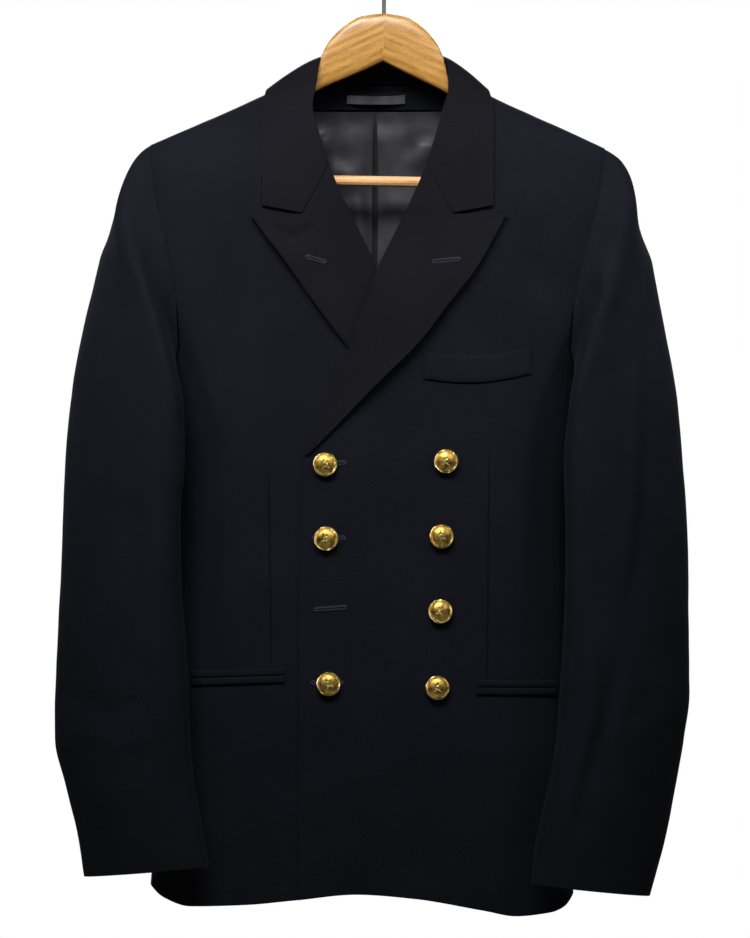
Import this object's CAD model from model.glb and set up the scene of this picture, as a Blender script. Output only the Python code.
"""The looks of a double-breasted reefer jacket on its wooden hanger, laid out as a Blender add-on.

Metres, +Z up, the jacket's front faces -Y. Left and right are the wearer's own, so left lies at +X.
Cloth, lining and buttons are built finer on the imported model's own surfaces and stand for its nodes.
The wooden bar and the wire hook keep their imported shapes.
"""

from bisect import bisect_right
from collections import namedtuple
from functools import lru_cache
from math import atan2, cos, exp, pi, radians, sin, sqrt

import bmesh
import bpy
from bpy.props import FloatProperty, FloatVectorProperty, PointerProperty
from bpy.types import Operator, Panel, PropertyGroup
from mathutils import Matrix, Vector, noise


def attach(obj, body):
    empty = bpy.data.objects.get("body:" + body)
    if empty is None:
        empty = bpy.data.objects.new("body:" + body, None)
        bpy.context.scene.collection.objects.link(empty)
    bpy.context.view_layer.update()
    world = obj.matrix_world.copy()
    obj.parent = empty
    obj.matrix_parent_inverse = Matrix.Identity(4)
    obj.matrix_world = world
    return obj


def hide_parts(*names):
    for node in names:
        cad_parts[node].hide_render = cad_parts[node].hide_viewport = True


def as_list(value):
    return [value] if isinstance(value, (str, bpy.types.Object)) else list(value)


bl_info = {
    "name": "Reefer Jacket",
    "version": (1, 0, 0),
    "blender": (4, 5, 0),
    "location": "View3D > Sidebar > Jacket",
    "description": "Builds a reefer jacket's cloth, sewing, buttons and hanger around a packed model",
    "category": "Object",
}

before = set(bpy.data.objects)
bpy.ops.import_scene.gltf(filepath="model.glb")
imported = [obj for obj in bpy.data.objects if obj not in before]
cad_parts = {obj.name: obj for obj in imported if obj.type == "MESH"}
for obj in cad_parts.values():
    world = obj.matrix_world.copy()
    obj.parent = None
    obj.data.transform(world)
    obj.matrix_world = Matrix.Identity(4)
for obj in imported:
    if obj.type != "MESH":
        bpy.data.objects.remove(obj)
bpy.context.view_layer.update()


def table(row, values):
    """Rows of plain values as named tuples."""
    return tuple(row(*each) for each in values)


# Seams and cloth
GAP = 0.0003
CLOTH = 0.0018
DOUBLE_CLOTH = 0.0024
LINING = 0.0010
LAID_GAP = 0.0006

# The whole jacket
JACKET_X = -0.006
RIGHT, LEFT = -1, 1
FRONT, BACK = -1, 1
ROUNDING = 3.0
SEAM_FRACTION = 0.94
SHOULDER_ARCH = 0.130
SIDE_ARCH = 0.024
HEM_LEVEL = -0.900
ROW_CLOSING = 1.8
COLUMN_CLOSING = 0.30
AT_SEAM, NEVER_FLAT = 1e-5, 1e-8

BodySection = namedtuple("BodySection", "height right left front back")
BODY = table(BodySection, (
    (-0.100, 0.222, 0.221, 0.050, 0.046),
    (-0.300, 0.214, 0.209, 0.053, 0.048),
    (-0.410, 0.193, 0.187, 0.055, 0.050),
    (-0.560, 0.188, 0.179, 0.053, 0.047),
    (-0.700, 0.198, 0.179, 0.055, 0.050),
    (-0.800, 0.206, 0.181, 0.057, 0.052),
    (-0.920, 0.215, 0.184, 0.058, 0.054),
))

ShoulderPoint = namedtuple("ShoulderPoint", "distance right left")
SHOULDER = table(ShoulderPoint, (
    (0.000, -0.1030, -0.1030),
    (0.071, -0.1315, -0.1315),
    (0.213, -0.1942, -0.1972),
    (0.240, -0.2065, -0.2115),
))
NECK_HALF = 0.071
TIP_HALF = 0.213
ARMHOLE_DEPTH = 0.190
NECK_BACK = -0.137

ArmholePoint = namedtuple("ArmholePoint", "drop inset")
ARMHOLE = table(ArmholePoint, (
    (0.000, 0.000),
    (0.040, 0.006),
    (0.065, 0.013),
    (0.095, 0.023),
    (0.125, 0.032),
    (0.155, 0.038),
    (0.190, 0.042),
))

HemPoint = namedtuple("HemPoint", "x height")
HEM = table(HemPoint, (
    (-0.222, -0.884),
    (-0.207, -0.8965),
    (-0.181, -0.9045),
    (-0.131, -0.9030),
    (-0.083, -0.8985),
    (-0.026, -0.893),
    (0.028, -0.897),
    (0.092, -0.908),
    (0.123, -0.9135),
    (0.155, -0.9105),
    (0.168, -0.9055),
    (0.179, -0.892),
))

# The roll line, then the front edge, as a distance past the centre towards the wearer's own side
RollPoint = namedtuple("RollPoint", "height past")
ROLL = table(RollPoint, (
    (-0.1315, 0.071),
    (-0.155, 0.0625),
    (-0.179, 0.056),
    (-0.2223, 0.0415),
    (-0.264, 0.0225),
    (-0.309, 0.0005),
    (-0.3336, -0.0080),
    (-0.4036, -0.0335),
    (-0.4466, -0.0505),
    (-0.485, -0.0680),
    (-0.560, -0.0725),
    (-0.650, -0.0740),
    (-0.920, -0.0740),
))

# The wearer's left front lies over the right one, and rides up over the right lapel near the roll
OVERLAP_RISE = 0.0026
CROSS_RISE = 0.0044
CROSS_MIDDLE = -0.352
CROSS_SPREAD = 0.056
OVERLAP_TOP, OVERLAP_FADE = -0.262, 0.060
OVERLAP_EDGE, OVERLAP_EDGE_FADE = 0.150, 0.050
ROLL_NEAR, ROLL_FADE = 0.070, 0.055

# Lapels: outer edges, then the seam where lapel and collar meet
EdgePoint = namedtuple("EdgePoint", "height past")
LAPEL_EDGE_LEFT = table(EdgePoint, (
    (-0.2590, 0.120),
    (-0.2737, 0.112),
    (-0.312, 0.090),
    (-0.342, 0.0667),
    (-0.3765, 0.0406),
    (-0.425, -0.008),
    (-0.4597, -0.041),
    (-0.483, -0.064),
))
LAPEL_EDGE_RIGHT = table(EdgePoint, (
    (-0.2590, 0.118),
    (-0.2737, 0.108),
    (-0.2952, 0.0915),
    (-0.340, 0.060),
    (-0.380, 0.0300),
    (-0.391, 0.0210),
))
LAPEL_LIFT = 0.0040
LAPEL_TUCK = 0.012
GorgePoint = namedtuple("GorgePoint", "share past height")
GORGE = table(GorgePoint, (
    (0.00, 0.0455, -0.2130),
    (0.25, 0.0575, -0.2360),
    (0.50, 0.0700, -0.2592),
))
LAPEL_TIP = {LEFT: (0.120, -0.2590), RIGHT: (0.118, -0.2595)}
COLLAR_CORNER = (0.1080, -0.2520)

# Collar: fold and outer edge from the gorge round to the centre back, one row for each station
CollarStation = namedtuple("CollarStation", "share fold_out fold_y fold_z edge_out edge_y edge_z arch")
COLLAR = table(CollarStation, (
    (0.00, 0.0455, None, -0.2130, 0.1080, None, -0.2520, 0.000),
    (0.18, 0.0560, None, -0.1790, 0.1085, None, -0.2050, 0.000),
    (0.34, 0.0620, -0.0300, -0.1500, 0.1075, -0.0250, -0.1640, 0.002),
    (0.50, 0.0590, -0.0060, -0.1140, 0.1030, 0.0000, -0.1425, 0.0035),
    (0.66, 0.0530, 0.0160, -0.1095, 0.0960, 0.0230, -0.1480, 0.006),
    (0.82, 0.0330, 0.0330, -0.1060, 0.0560, 0.0420, -0.1540, 0.009),
    (1.00, 0.0000, 0.0370, -0.1060, 0.0000, 0.0460, -0.1570, 0.009),
))
SHOULDER_EDGE = 0.0005
STAND_START = 0.482
STAND_START_HEIGHT = -0.1410
STAND_STEP = 0.0019
STAND_BELOW, STAND_SHORT, SHOULDER_SHARE = 0.0001, 0.01, 0.5
STAND_CLEAR = 0.0034
STAND_LOOK = (-0.06, -0.045, -0.03, -0.015, 0.0, 0.015, 0.03, 0.045, 0.06)
COLLAR_SHIFT = 0.005
COLLAR_LEAVES_FRONT, COLLAR_LEAVES_OVER = 0.20, 0.14
COLLAR_END_REACH, COLLAR_END_BEND = 0.30, 1.5
COLLAR_KNEE, COLLAR_KNEE_FRONT = 0.30, 0.50
COLLAR_SHIFT_FROM, COLLAR_SHIFT_OVER = 0.22, 0.22
COLLAR_REST = 0.0012

# Sleeves: the outer and inner outline of each ring, its reach in depth, and its slant
SleeveRing = namedtuple("SleeveRing", "ring outer_z outer_x inner_z inner_x front back slant")
SLEEVE_RIGHT = table(SleeveRing, (
    (1, -0.300, 0.2665, -0.446, 0.1875, -0.083, 0.055, 46),
    (2, -0.420, 0.2920, -0.490, 0.1860, -0.084, 0.048, 44),
    (3, -0.507, 0.2990, -0.540, 0.1895, -0.086, 0.038, 40),
    (4, -0.596, 0.3020, -0.604, 0.1885, -0.089, 0.024, 35),
    (5, -0.690, 0.3056, -0.684, 0.1835, -0.093, 0.008, 30),
    (6, -0.748, 0.3065, -0.740, 0.1815, -0.096, -0.002, 26),
    (7, -0.792, 0.2965, -0.790, 0.1766, -0.099, -0.012, 22),
    (8, -0.834, 0.2855, -0.830, 0.1695, -0.101, -0.024, 20),
    (9, -0.8760, 0.2785, -0.866, 0.1636, -0.102, -0.034, 18),
))
SLEEVE_LEFT = table(SleeveRing, (
    (1, -0.305, 0.2515, -0.446, 0.1720, -0.083, 0.055, 52),
    (2, -0.440, 0.2755, -0.490, 0.1680, -0.084, 0.048, 48),
    (3, -0.549, 0.2835, -0.573, 0.1690, -0.086, 0.036, 42),
    (4, -0.643, 0.2850, -0.645, 0.1675, -0.089, 0.022, 36),
    (5, -0.704, 0.2850, -0.700, 0.1650, -0.093, 0.008, 30),
    (6, -0.748, 0.2795, -0.748, 0.1610, -0.096, -0.002, 26),
    (7, -0.790, 0.2715, -0.788, 0.1535, -0.099, -0.012, 22),
    (8, -0.844, 0.2600, -0.838, 0.1430, -0.101, -0.024, 20),
    (9, -0.8940, 0.2467, -0.882, 0.1374, -0.102, -0.034, 18),
))
SLEEVES = {RIGHT: SLEEVE_RIGHT, LEFT: SLEEVE_LEFT}
SEAM_STEP = 0.0005
SLEEVE_TURN = radians(50)
SLEEVE_FRONT_SEAM = radians(72)
SLEEVE_BACK_SEAM = radians(272)
CUFF_RING = 9

# Which way the sleeve leaves the armhole, at the underarm and at the shoulder tip
CapLead = namedtuple("CapLead", "out up along_normal")
CAP_LOW = CapLead(0.30, -0.40, 0.08)
CAP_HIGH = CapLead(0.78, -0.50, 0.05)

# Pockets: corner heights and places on the fronts
WELT_LEFT_X = 0.0370
WELT_RIGHT_X = 0.1370
WELT_HEIGHT = 0.0250
WELT_SAG = 0.0060
WELT_ENDS = (-0.3880, -0.3830)
PocketPlace = namedtuple("PocketPlace", "side inner_x outer_x inner_z outer_z")
POCKETS = table(PocketPlace, (
    ("right", -0.0920, -0.1790, -0.6888, -0.6920),
    ("left", 0.0850, 0.1600, -0.7000, -0.7010),
))
JET_HEIGHT = 0.0066
POCKET_SLIT = 0.0006

# Lining, facing and loop inside the back neck
LINING_STEP = 0.0006
LINING_TOP = -0.1605
LINING_TOP_SAG = 0.0020
LINING_FOOT = -0.870
LINING_HALF = 0.250
LINING_FROM_SHOULDER = 0.012
LINING_FROM_SIDE = 0.006
FACING_TOP = -0.1425
FACING_HALF = 0.075
LOOP_X = (-0.0355, 0.0206)
LOOP_Z = (-0.1437, -0.1517)
LOOP_BOW = 0.0040
LOOP_THICK = 0.0008

# Buttons
BUTTON_RADIUS = 0.01145
BUTTON_RIM = 0.0016
BUTTON_DOME = 0.0052
BUTTON_SHANK_RADIUS = 0.0025
BUTTON_SHANK = 0.0030
BUTTON_BEVEL = 0.0006
BUTTON_LIFT = 0.0004
ButtonPlace = namedtuple("ButtonPlace", "name x z")
BUTTONS = table(ButtonPlace, (
    ("button_hole_side_1", -0.0547, -0.4925),
    ("button_hole_side_2", -0.0537, -0.5616),
    ("button_hole_side_4", -0.0514, -0.6970),
    ("button_show_side_1", 0.0576, -0.4896),
    ("button_show_side_2", 0.0533, -0.5597),
    ("button_show_side_3", 0.0523, -0.6295),
    ("button_show_side_4", 0.0495, -0.7005),
))

# Hanger: outline of one arm from the mitre outwards, tilted a little with the jacket
HangerStation = namedtuple("HangerStation", "reach top bottom")
HANGER = table(HangerStation, (
    (0.0000, -0.0700, -0.1150),
    (0.0200, -0.0730, -0.1250),
    (0.0340, -0.0815, -0.1320),
    (0.0480, -0.0980, -0.1390),
    (0.0560, -0.1180, -0.1435),
    (0.0605, -0.1385, -0.1460),
    (0.0800, -0.1450, -0.1560),
    (0.1200, -0.1625, -0.1790),
    (0.1550, -0.1785, -0.2000),
    (0.1720, -0.1865, -0.2330),
    (0.2000, -0.1995, -0.2370),
))
HANGER_HALF_THICK = 0.0065
HANGER_TILT = radians(1.0)
BAR_RADIUS = 0.0050
BAR_HEIGHT = -0.2275
BAR_END = 0.1850
HOOK_DEPTH = 0.024
BORE_RADIUS = 0.0023

# Softness of the cloth: a wide slow unevenness, and the creases of each part as seen from the front.
# A crease with a plus height is a ridge, with a minus a trough; its points are X and Z.
WAVE_SIZE, WAVE_HEIGHT = 0.075, 0.0011
RIPPLE_SIZE, RIPPLE_HEIGHT = 0.022, 0.00028
CREASE_END, CREASE_START, CREASE_REACH, CREASE_TURN = 0.35, 0.25, 3, 2.0
Crease = namedtuple("Crease", "width height points")
CREASES = {
    # A long fold runs down the wearer's left sleeve, from its head to the cuff
    ("sleeve", FRONT): table(Crease, (
        (0.0085, 0.0026, ((-0.2411, -0.212), (-0.2425, -0.265), (-0.2400, -0.330))),
        (0.0120, -0.0024, ((-0.2100, -0.222), (-0.2085, -0.270), (-0.2120, -0.345))),
        (0.0180, -0.0020, ((-0.2480, -0.360), (-0.2420, -0.480), (-0.2380, -0.600))),
        (0.0150, 0.0018, ((-0.2130, -0.440), (-0.2120, -0.560), (-0.2080, -0.660))),
        (0.0100, -0.0022, ((-0.2920, -0.705), (-0.2560, -0.722), (-0.2160, -0.712))),
        (0.0110, 0.0016, ((-0.2850, -0.735), (-0.2450, -0.752), (-0.2060, -0.745))),
        (0.0160, 0.0018, ((-0.2270, -0.770), (-0.2180, -0.840), (-0.2120, -0.868))),
        (0.0090, -0.0016, ((-0.1960, -0.780), (-0.1900, -0.850))),
        (0.0070, 0.0030, ((0.2375, -0.262), (0.2365, -0.340), (0.2350, -0.433), (0.2320, -0.509),
                          (0.2265, -0.573), (0.2180, -0.620))),
        (0.0090, -0.0024, ((0.2460, -0.285), (0.2445, -0.433), (0.2415, -0.509), (0.2365, -0.573),
                          (0.2290, -0.620), (0.2215, -0.668))),
        (0.0120, 0.0034, ((0.1900, -0.640), (0.1950, -0.720), (0.1790, -0.784), (0.1640, -0.850))),
        (0.0090, -0.0038, ((0.2159, -0.668), (0.2056, -0.727), (0.1880, -0.784), (0.1760, -0.848))),
        (0.0080, 0.0020, ((0.2010, -0.298), (0.2080, -0.330), (0.2170, -0.345))),
        (0.0080, 0.0018, ((0.1990, -0.352), (0.2050, -0.385), (0.2150, -0.402))),
        (0.0090, -0.0018, ((0.1930, -0.322), (0.2020, -0.358), (0.2140, -0.374))),
        (0.0100, -0.0016, ((0.2560, -0.700), (0.2400, -0.716), (0.2230, -0.735))),
    )),
    ("sleeve", BACK): table(Crease, (
        (0.0140, -0.0026, ((-0.2250, -0.400), (-0.2300, -0.520), (-0.2280, -0.640))),
        (0.0120, 0.0020, ((-0.2520, -0.330), (-0.2600, -0.430), (-0.2590, -0.520))),
        (0.0100, -0.0022, ((-0.2850, -0.700), (-0.2500, -0.716), (-0.2150, -0.706))),
        (0.0140, -0.0024, ((0.2080, -0.410), (0.2120, -0.540), (0.2060, -0.650))),
        (0.0110, 0.0020, ((0.2350, -0.340), (0.2420, -0.450), (0.2400, -0.540))),
        (0.0100, -0.0022, ((0.2620, -0.712), (0.2300, -0.730), (0.2000, -0.716))),
    )),
    ("body", FRONT): table(Crease, (
        (0.0120, 0.0013, ((-0.0910, -0.335), (-0.0900, -0.400), (-0.0930, -0.465))),
        (0.0150, -0.0014, ((-0.1150, -0.330), (-0.1130, -0.400), (-0.1120, -0.450))),
        (0.0200, -0.0016, ((-0.1750, -0.250), (-0.1600, -0.310), (-0.1620, -0.380))),
        (0.0160, 0.0013, ((-0.1500, -0.720), (-0.1450, -0.800), (-0.1500, -0.880))),
        (0.0220, -0.0015, ((-0.1080, -0.730), (-0.1120, -0.810), (-0.1080, -0.890))),
        (0.0200, -0.0018, ((0.1550, -0.255), (0.1420, -0.305), (0.1480, -0.350))),
        (0.0150, 0.0014, ((0.1270, -0.425), (0.1330, -0.520), (0.1300, -0.610))),
        (0.0130, -0.0012, ((0.0700, -0.425), (0.0760, -0.480), (0.0780, -0.560))),
        (0.0220, 0.0016, ((0.1150, -0.740), (0.1230, -0.820), (0.1230, -0.900))),
        (0.0260, -0.0018, ((0.0550, -0.760), (0.0450, -0.830), (0.0300, -0.890))),
        (0.0240, 0.0014, ((-0.0200, -0.750), (-0.0300, -0.830), (-0.0280, -0.890))),
    )),
    ("body", BACK): table(Crease, (
        (0.0220, -0.0020, ((-0.1500, -0.260), (-0.1200, -0.330), (-0.1100, -0.420))),
        (0.0220, -0.0020, ((0.1400, -0.265), (0.1100, -0.340), (0.1000, -0.430))),
        (0.0130, -0.0016, ((-0.1100, -0.545), (-0.0600, -0.556), (-0.0150, -0.548))),
        (0.0130, -0.0014, ((0.0120, -0.566), (0.0550, -0.574), (0.1000, -0.560))),
        (0.0200, 0.0018, ((-0.0850, -0.720), (-0.0900, -0.800), (-0.0850, -0.890))),
        (0.0200, 0.0018, ((0.0750, -0.730), (0.0850, -0.810), (0.0800, -0.895))),
    )),
    ("lapel", FRONT): table(Crease, (
        (0.0060, -0.0018, ((-0.1080, -0.268), (-0.0860, -0.283), (-0.0640, -0.270))),
        (0.0150, 0.0012, ((-0.0700, -0.320), (-0.0500, -0.355), (-0.0330, -0.385))),
        (0.0180, 0.0012, ((0.0750, -0.290), (0.0400, -0.345), (0.0000, -0.400))),
    )),
    ("lining", BACK): table(Crease, (
        (0.0080, -0.0034, ((-0.0660, -0.178), (-0.0560, -0.186), (-0.0540, -0.206))),
        (0.0060, 0.0022, ((-0.0600, -0.176), (-0.0490, -0.182), (-0.0470, -0.204))),
        (0.0100, -0.0034, ((-0.0540, -0.215), (-0.0400, -0.219), (-0.0250, -0.226))),
        (0.0090, -0.0030, ((-0.0260, -0.235), (-0.0200, -0.265), (-0.0160, -0.330))),
        (0.0080, 0.0026, ((-0.0140, -0.175), (-0.0120, -0.215), (-0.0150, -0.300))),
        (0.0070, -0.0036, ((0.0520, -0.190), (0.0380, -0.196), (0.0280, -0.212))),
        (0.0090, 0.0018, ((0.0500, -0.184), (0.0300, -0.188), (0.0180, -0.202))),
        (0.0090, -0.0028, ((0.0090, -0.230), (0.0110, -0.260), (0.0080, -0.320))),
        (0.0150, -0.0022, ((-0.1000, -0.300), (-0.0900, -0.450), (-0.1000, -0.650))),
        (0.0150, 0.0022, ((0.0900, -0.320), (0.0800, -0.500), (0.0950, -0.720))),
    )),
}
PLEAT_HEIGHT, PLEAT_FADE = 0.0012, 0.012
PLEAT_DEEP, PLEAT_AT, PLEAT_HALF = 0.0050, -0.0024, 0.0014
PLEAT_STEPS = (
    0.0, 0.0015, 0.004, 0.008, 0.0115, 0.015, 0.0185, 0.022, 0.027, 0.033, 0.048, 0.066, 0.088, 0.115, 0.145,
)
PLEAT_LIP, LINING_COLUMNS = 0.0004, 52
LINING_SLACK, LINING_FREE = 0.0054, 0.030
EDGE_ROUND = 0.0007

# Darts: a stitched line down each front, where the cloth dips
Dart = namedtuple("Dart", "top_x top_z foot_x foot_z")
DARTS = {
    RIGHT: Dart(-0.1080, -0.4700, -0.1047, -0.6760),
    LEFT: Dart(0.0981, -0.4607, 0.0963, -0.6900),
}
DART_HALF = 0.0011

# Buttonholes: middle, length and slant, seen from the front
Hole = namedtuple("Hole", "name layer x z length slant")
HOLES = table(Hole, (
    ("buttonhole_1", "front", -0.0508, -0.4915, 0.0290, 0.0),
    ("buttonhole_2", "front", -0.0512, -0.5612, 0.0290, 0.0),
    ("buttonhole_3", "front", -0.0500, -0.6270, 0.0290, 4.0),
    ("buttonhole_4", "front", -0.0530, -0.6962, 0.0290, 0.0),
    ("buttonhole_lapel_left", "lapel", 0.0576, -0.3033, 0.0250, 5.0),
    ("buttonhole_lapel_right", "lapel", -0.0632, -0.3022, 0.0185, -16.0),
))
HOLE_HALF, HOLE_CORD, HOLE_CORD_LIFT, HOLE_TURN_STEPS = 0.0011, 0.00050, 0.6, 6
SLIT_LONG, SLIT_WIDE, SLIT_TOP, SLIT_FOOT = 0.98, 0.55, 0.00025, 0.00005
STITCH_INSIDE, STITCH_ROUGH, STITCH_ROW = -0.0006, 0.7, 50
STITCH_STEP, STITCH_RADIUS = 0.0010, 0.00026

# Buttons: a domed face with a rope rim, a beaded ring and a raised eight-pointed star
BUTTON_TURN_SIDES, DOME_RINGS = 72, 24
DOME_SHARE, DOME_FLATTEN, DOME_POWER = 0.86, 0.98, 1.15
RIM_STEP, DOME_LEAST = 0.00005, 0.0001
ROPE_TWISTS, ROPE_RADIUS = 40, 0.00062
BEADS, BEAD_RADIUS = 28, 0.00048
STAR_LONG, STAR_SHORT, STAR_WAIST = 0.0078, 0.0056, 0.0030
STAR_HEIGHT, STAR_VALLEY = 0.0015, 0.22
STAR_CORNERS, STAR_RINGS, STAR_FALL = 16, (0.34, 0.67, 1.0), 0.80
STAR_FOOT, STAR_SKIRT, STAR_BASE = 1.02, -0.0002, -0.0003
RIM_POINT = 4   # the place in the button's outline where its dome begins
BORE_SIDES = 24

# Columns and rows of each piece's grid. A panel's rows run to the underarm, then to the shoulder.
FRONT_GRID, BACK_GRID, SIDE_GRID = (64, 62, 50), (44, 54, 40), (24, 56)
SLEEVE_TOP_COLUMNS, SLEEVE_UNDER_COLUMNS, SLEEVE_ROWS = 52, 42, (26, 96)
FALL_GRID, STAND_GRID, LAPEL_GRID = (120, 22), (72, 10), (40, 84)
LINING_ROWS, FACING_ROWS, FACING_COLUMNS, LOOP_GRID = 120, 8, 48, (40, 6)
WELT_GRID, JET_GRID, MOUTH_GRID = (60, 14), (50, 6), (50, 1)

# Hanger section
HANGER_STATIONS = 90
HANGER_CORNERS = 28
HANGER_POWER = 3.4

# Stage: the camera's place and lens give the photograph's framing
CAMERA_X, CAMERA_HEIGHT, CAMERA_DISTANCE = -0.0084, -0.497, 8.0
CAMERA_LENS = 327.7
FLOOR_HEIGHT, FLOOR_SIZE = -1.70, 12.0

# Sewing and small parts
SEWN, SEWN_SIDE = -0.00015, 0.0022
SEWN_GAP, SEWN_TURN, SEWN_FADE = 0.0002, 0.0012, 0.5
CAP_LOOK, SLEEVE_LOOK, CAP_EASE_START = 1.05, 0.002, 8
CapEase = namedtuple("CapEase", "height at over")
CAP_EASE = {RIGHT: CapEase(0.0038, 0.57, 0.18), LEFT: CapEase(0.0036, 0.38, 0.34)}
LAPEL_FREE, LAPEL_FREE_OVER, LAPEL_ROLL = {RIGHT: 0.42, LEFT: 0.10}, 0.25, 0.0032
LAPEL_NARROWEST, LAPEL_BEND = 0.002, 4
LIFT_RISE, LIFT_LOSS = 3, 0.6
PEAK_FROM, PEAK_OVER, PEAK_LOSS = 0.8, 0.2, 0.5
LAPEL_START, LAPEL_STEP, LAPEL_TRIES = (0.5, 0.75), 0.01, 8
SEAM_LOOK = 0.03
BUTT_FROM, BUTT_OVER = 0.16, 0.20
COLLAR_SOFTNESS = 0.6
STRIP_SWELL, SWELL_ENDS, SWELL_SIDES = 0.0007, 3, 1.5
THIN_EDGE, STRIP_EDGE, LOOP_EDGE, MOUTH_THICK = 0.0003, 0.0004, 0.0002, 0.0002
RIBBON_RIB = 0.0012
STITCH_REACH, STITCH_UNEVEN = 0.0015, 0.0004
STITCH_ARC = ((0.0, 0.0009), (0.3, 0.0012), (0.7, 0.0006), (1.0, 0.0001))
ROPE_INSET, ROPE_LIFT, ROPE_SWING, ROPE_STRAND, ROPE_STEPS = 0.0010, 0.35, 0.55, 0.62, 6
BEAD_RING_SHARE = 0.79
DOME_SINK = 0.0004
BUTTON_SPIN = (8.0, -14.0, 22.0, -5.0, 17.0, -20.0, 3.0)
HANGER_GRAIN = radians(24)
MITRE = 0.00002
DOME_WIDER, DOME_WIDER_AT, DOME_WIDER_OVER = {RIGHT: 0.0045, LEFT: 0.0030}, 0.062, 0.030

# Lights: a soft key high above the front, a weak fill, two small ones for the sleeve heads and two
# that light the back
KEY_POWER, ROOM_LIGHT, BACKDROP_LIGHT = 7.9, 0.06, 1.0
Lamp = namedtuple("Lamp", "name place aim width height share spread")
LAMPS = table(Lamp, (
    ("key light", (-0.15, -0.95, 0.55), (0.0, 0.0, -0.45), 1.0, 0.35, 1.0, 90),
    ("front light", (0.5, -4.5, 0.5), (0.0, 0.0, -0.40), 1.4, 1.4, 0.28, 180),
    ("sleeve light left", (-1.1, -0.80, 0.45), (-0.29, 0.0, -0.26), 0.3, 0.3, 0.045, 26),
    ("sleeve light right", (1.1, -0.80, 0.45), (0.27, 0.0, -0.26), 0.3, 0.3, 0.055, 26),
    ("back light left", (-0.8, 3.0, 1.0), (0.0, 0.0, -0.40), 1.2, 1.2, 4.5, 180),
    ("back light right", (0.8, 3.0, 1.0), (0.0, 0.0, -0.40), 1.2, 1.2, 4.5, 180),
))


def from_hex(code):
    """An sRGB hex colour as linear red, green, blue and alpha."""
    channels = [int(code[i:i + 2], 16) / 255 for i in (0, 2, 4)]
    linear = [c / 12.92 if c <= 0.04045 else ((c + 0.055) / 1.055) ** 2.4 for c in channels]
    return (*linear, 1.0)


# Pattern sizes in metres. The wave texture makes one band for each turn of this many units.
WAVE_TURN = 0.314
TWILL_PITCH = 0.0022   # the real rib is 0.8 mm, drawn coarser so that it shows at a step away
NAP_SIZE = 0.0013      # the real fibre ends are finer than the picture's points
FUZZ_SIZE = 0.0034
MOTTLE_SIZE = 0.055
NAP_DEPTH = 0.00035
SATIN_CLOUD, SATIN_YARN, SATIN_DEPTH = 0.030, 0.0009, 0.00006
THREAD_PLY, PLY_DEPTH = 0.0004, 0.0001
BRASS_CLOUD, BRASS_GRAIN, BRASS_DEPTH = 0.0050, 0.0006, 0.00004
DRAWN_LINE, DRAWN_DEPTH = 0.0004, 0.00003
FUZZ_DEPTH = 0.0002
ROLLER_SIZE, ROLLER_DEPTH = 0.004, 0.0002
GRAIN_PITCH, GRAIN_STREAK, PORE_SIZE, PORE_DEPTH = 0.0075, 0.0034, 0.0008, 0.00008

# Looks that more than one piece shares
WOOL_ROUGHNESS, WOOL_SHEEN, WOOL_GLOSS = 0.88, 0.030, 0.07
WOOL_SHEEN_TINT = from_hex("8f94a8")
SEAM_SHADE = from_hex("050507")
WOOD_PORE, PORE_SHADE = from_hex("8d6531"), 0.45
WOOD_ROUGHNESS = (0.34, 0.5)
DART_SHADE, DART_DEEP = 0.75, 2.2
LINING_ROUGHNESS, RIBBON_ROUGHNESS = 0.36, 0.34
POLISHED_LOOK, GROUND_LOOK = (0.16, 0.02), (0.40, 0.16)   # roughness and tarnish
WOOL_TONES, WOOL_TONE_START = (0.25, 0.35, 0.10), 0.20     # patches, specks and twill
WOOL_RELIEF = (0.20, 0.55, 0.8)                            # twill, nap and fuzz
DART_RISE, DART_FALL, DART_FRONT = 0.045, 0.002, (-0.030, -0.024)


def cubic(start, end, lead, trail, t):
    """A smooth way from start to end, with its slopes at both."""
    return (
        start * (2 * t ** 3 - 3 * t ** 2 + 1) + lead * (t ** 3 - 2 * t ** 2 + t)
        + end * (3 * t ** 2 - 2 * t ** 3) + trail * (t ** 3 - t ** 2)
    )


class Curve:
    """A smooth curve through one column of a table, read against another, with no overshoot."""

    def __init__(self, rows, along, value):
        pairs = sorted((getattr(row, along), getattr(row, value)) for row in rows)
        self.at = [pair[0] for pair in pairs]
        self.to = [pair[1] for pair in pairs]
        steps = [
            (self.to[i + 1] - self.to[i]) / (self.at[i + 1] - self.at[i])
            for i in range(len(pairs) - 1)
        ]
        self.slope = [steps[0]]
        for before, after in zip(steps, steps[1:]):
            level = before * after <= 0.0
            self.slope.append(0.0 if level else 2.0 * before * after / (before + after))
        self.slope.append(steps[-1])

    def __call__(self, place):
        place = min(max(place, self.at[0]), self.at[-1])
        i = min(bisect_right(self.at, place) - 1, len(self.at) - 2)
        width = self.at[i + 1] - self.at[i]
        share = (place - self.at[i]) / width
        return cubic(self.to[i], self.to[i + 1], self.slope[i] * width, self.slope[i + 1] * width, share)


def straight(rows, along, value, place):
    """Straight lines through one column of a table."""
    for first, second in zip(rows, rows[1:]):
        start, end = getattr(first, along), getattr(second, along)
        if place <= end or second is rows[-1]:
            share = (place - start) / (end - start)
            return mix(getattr(first, value), getattr(second, value), share)
    raise ValueError("the table is empty")


def mix(a, b, share):
    return a + (b - a) * share


def even(count, start=0.0, end=1.0):
    """Even steps from start to end."""
    return [mix(start, end, i / count) for i in range(count + 1)]


def ease(share):
    """0 below 0, 1 above 1 and a soft rise between."""
    share = min(max(share, 0.0), 1.0)
    return share * share * (3.0 - 2.0 * share)


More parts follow.
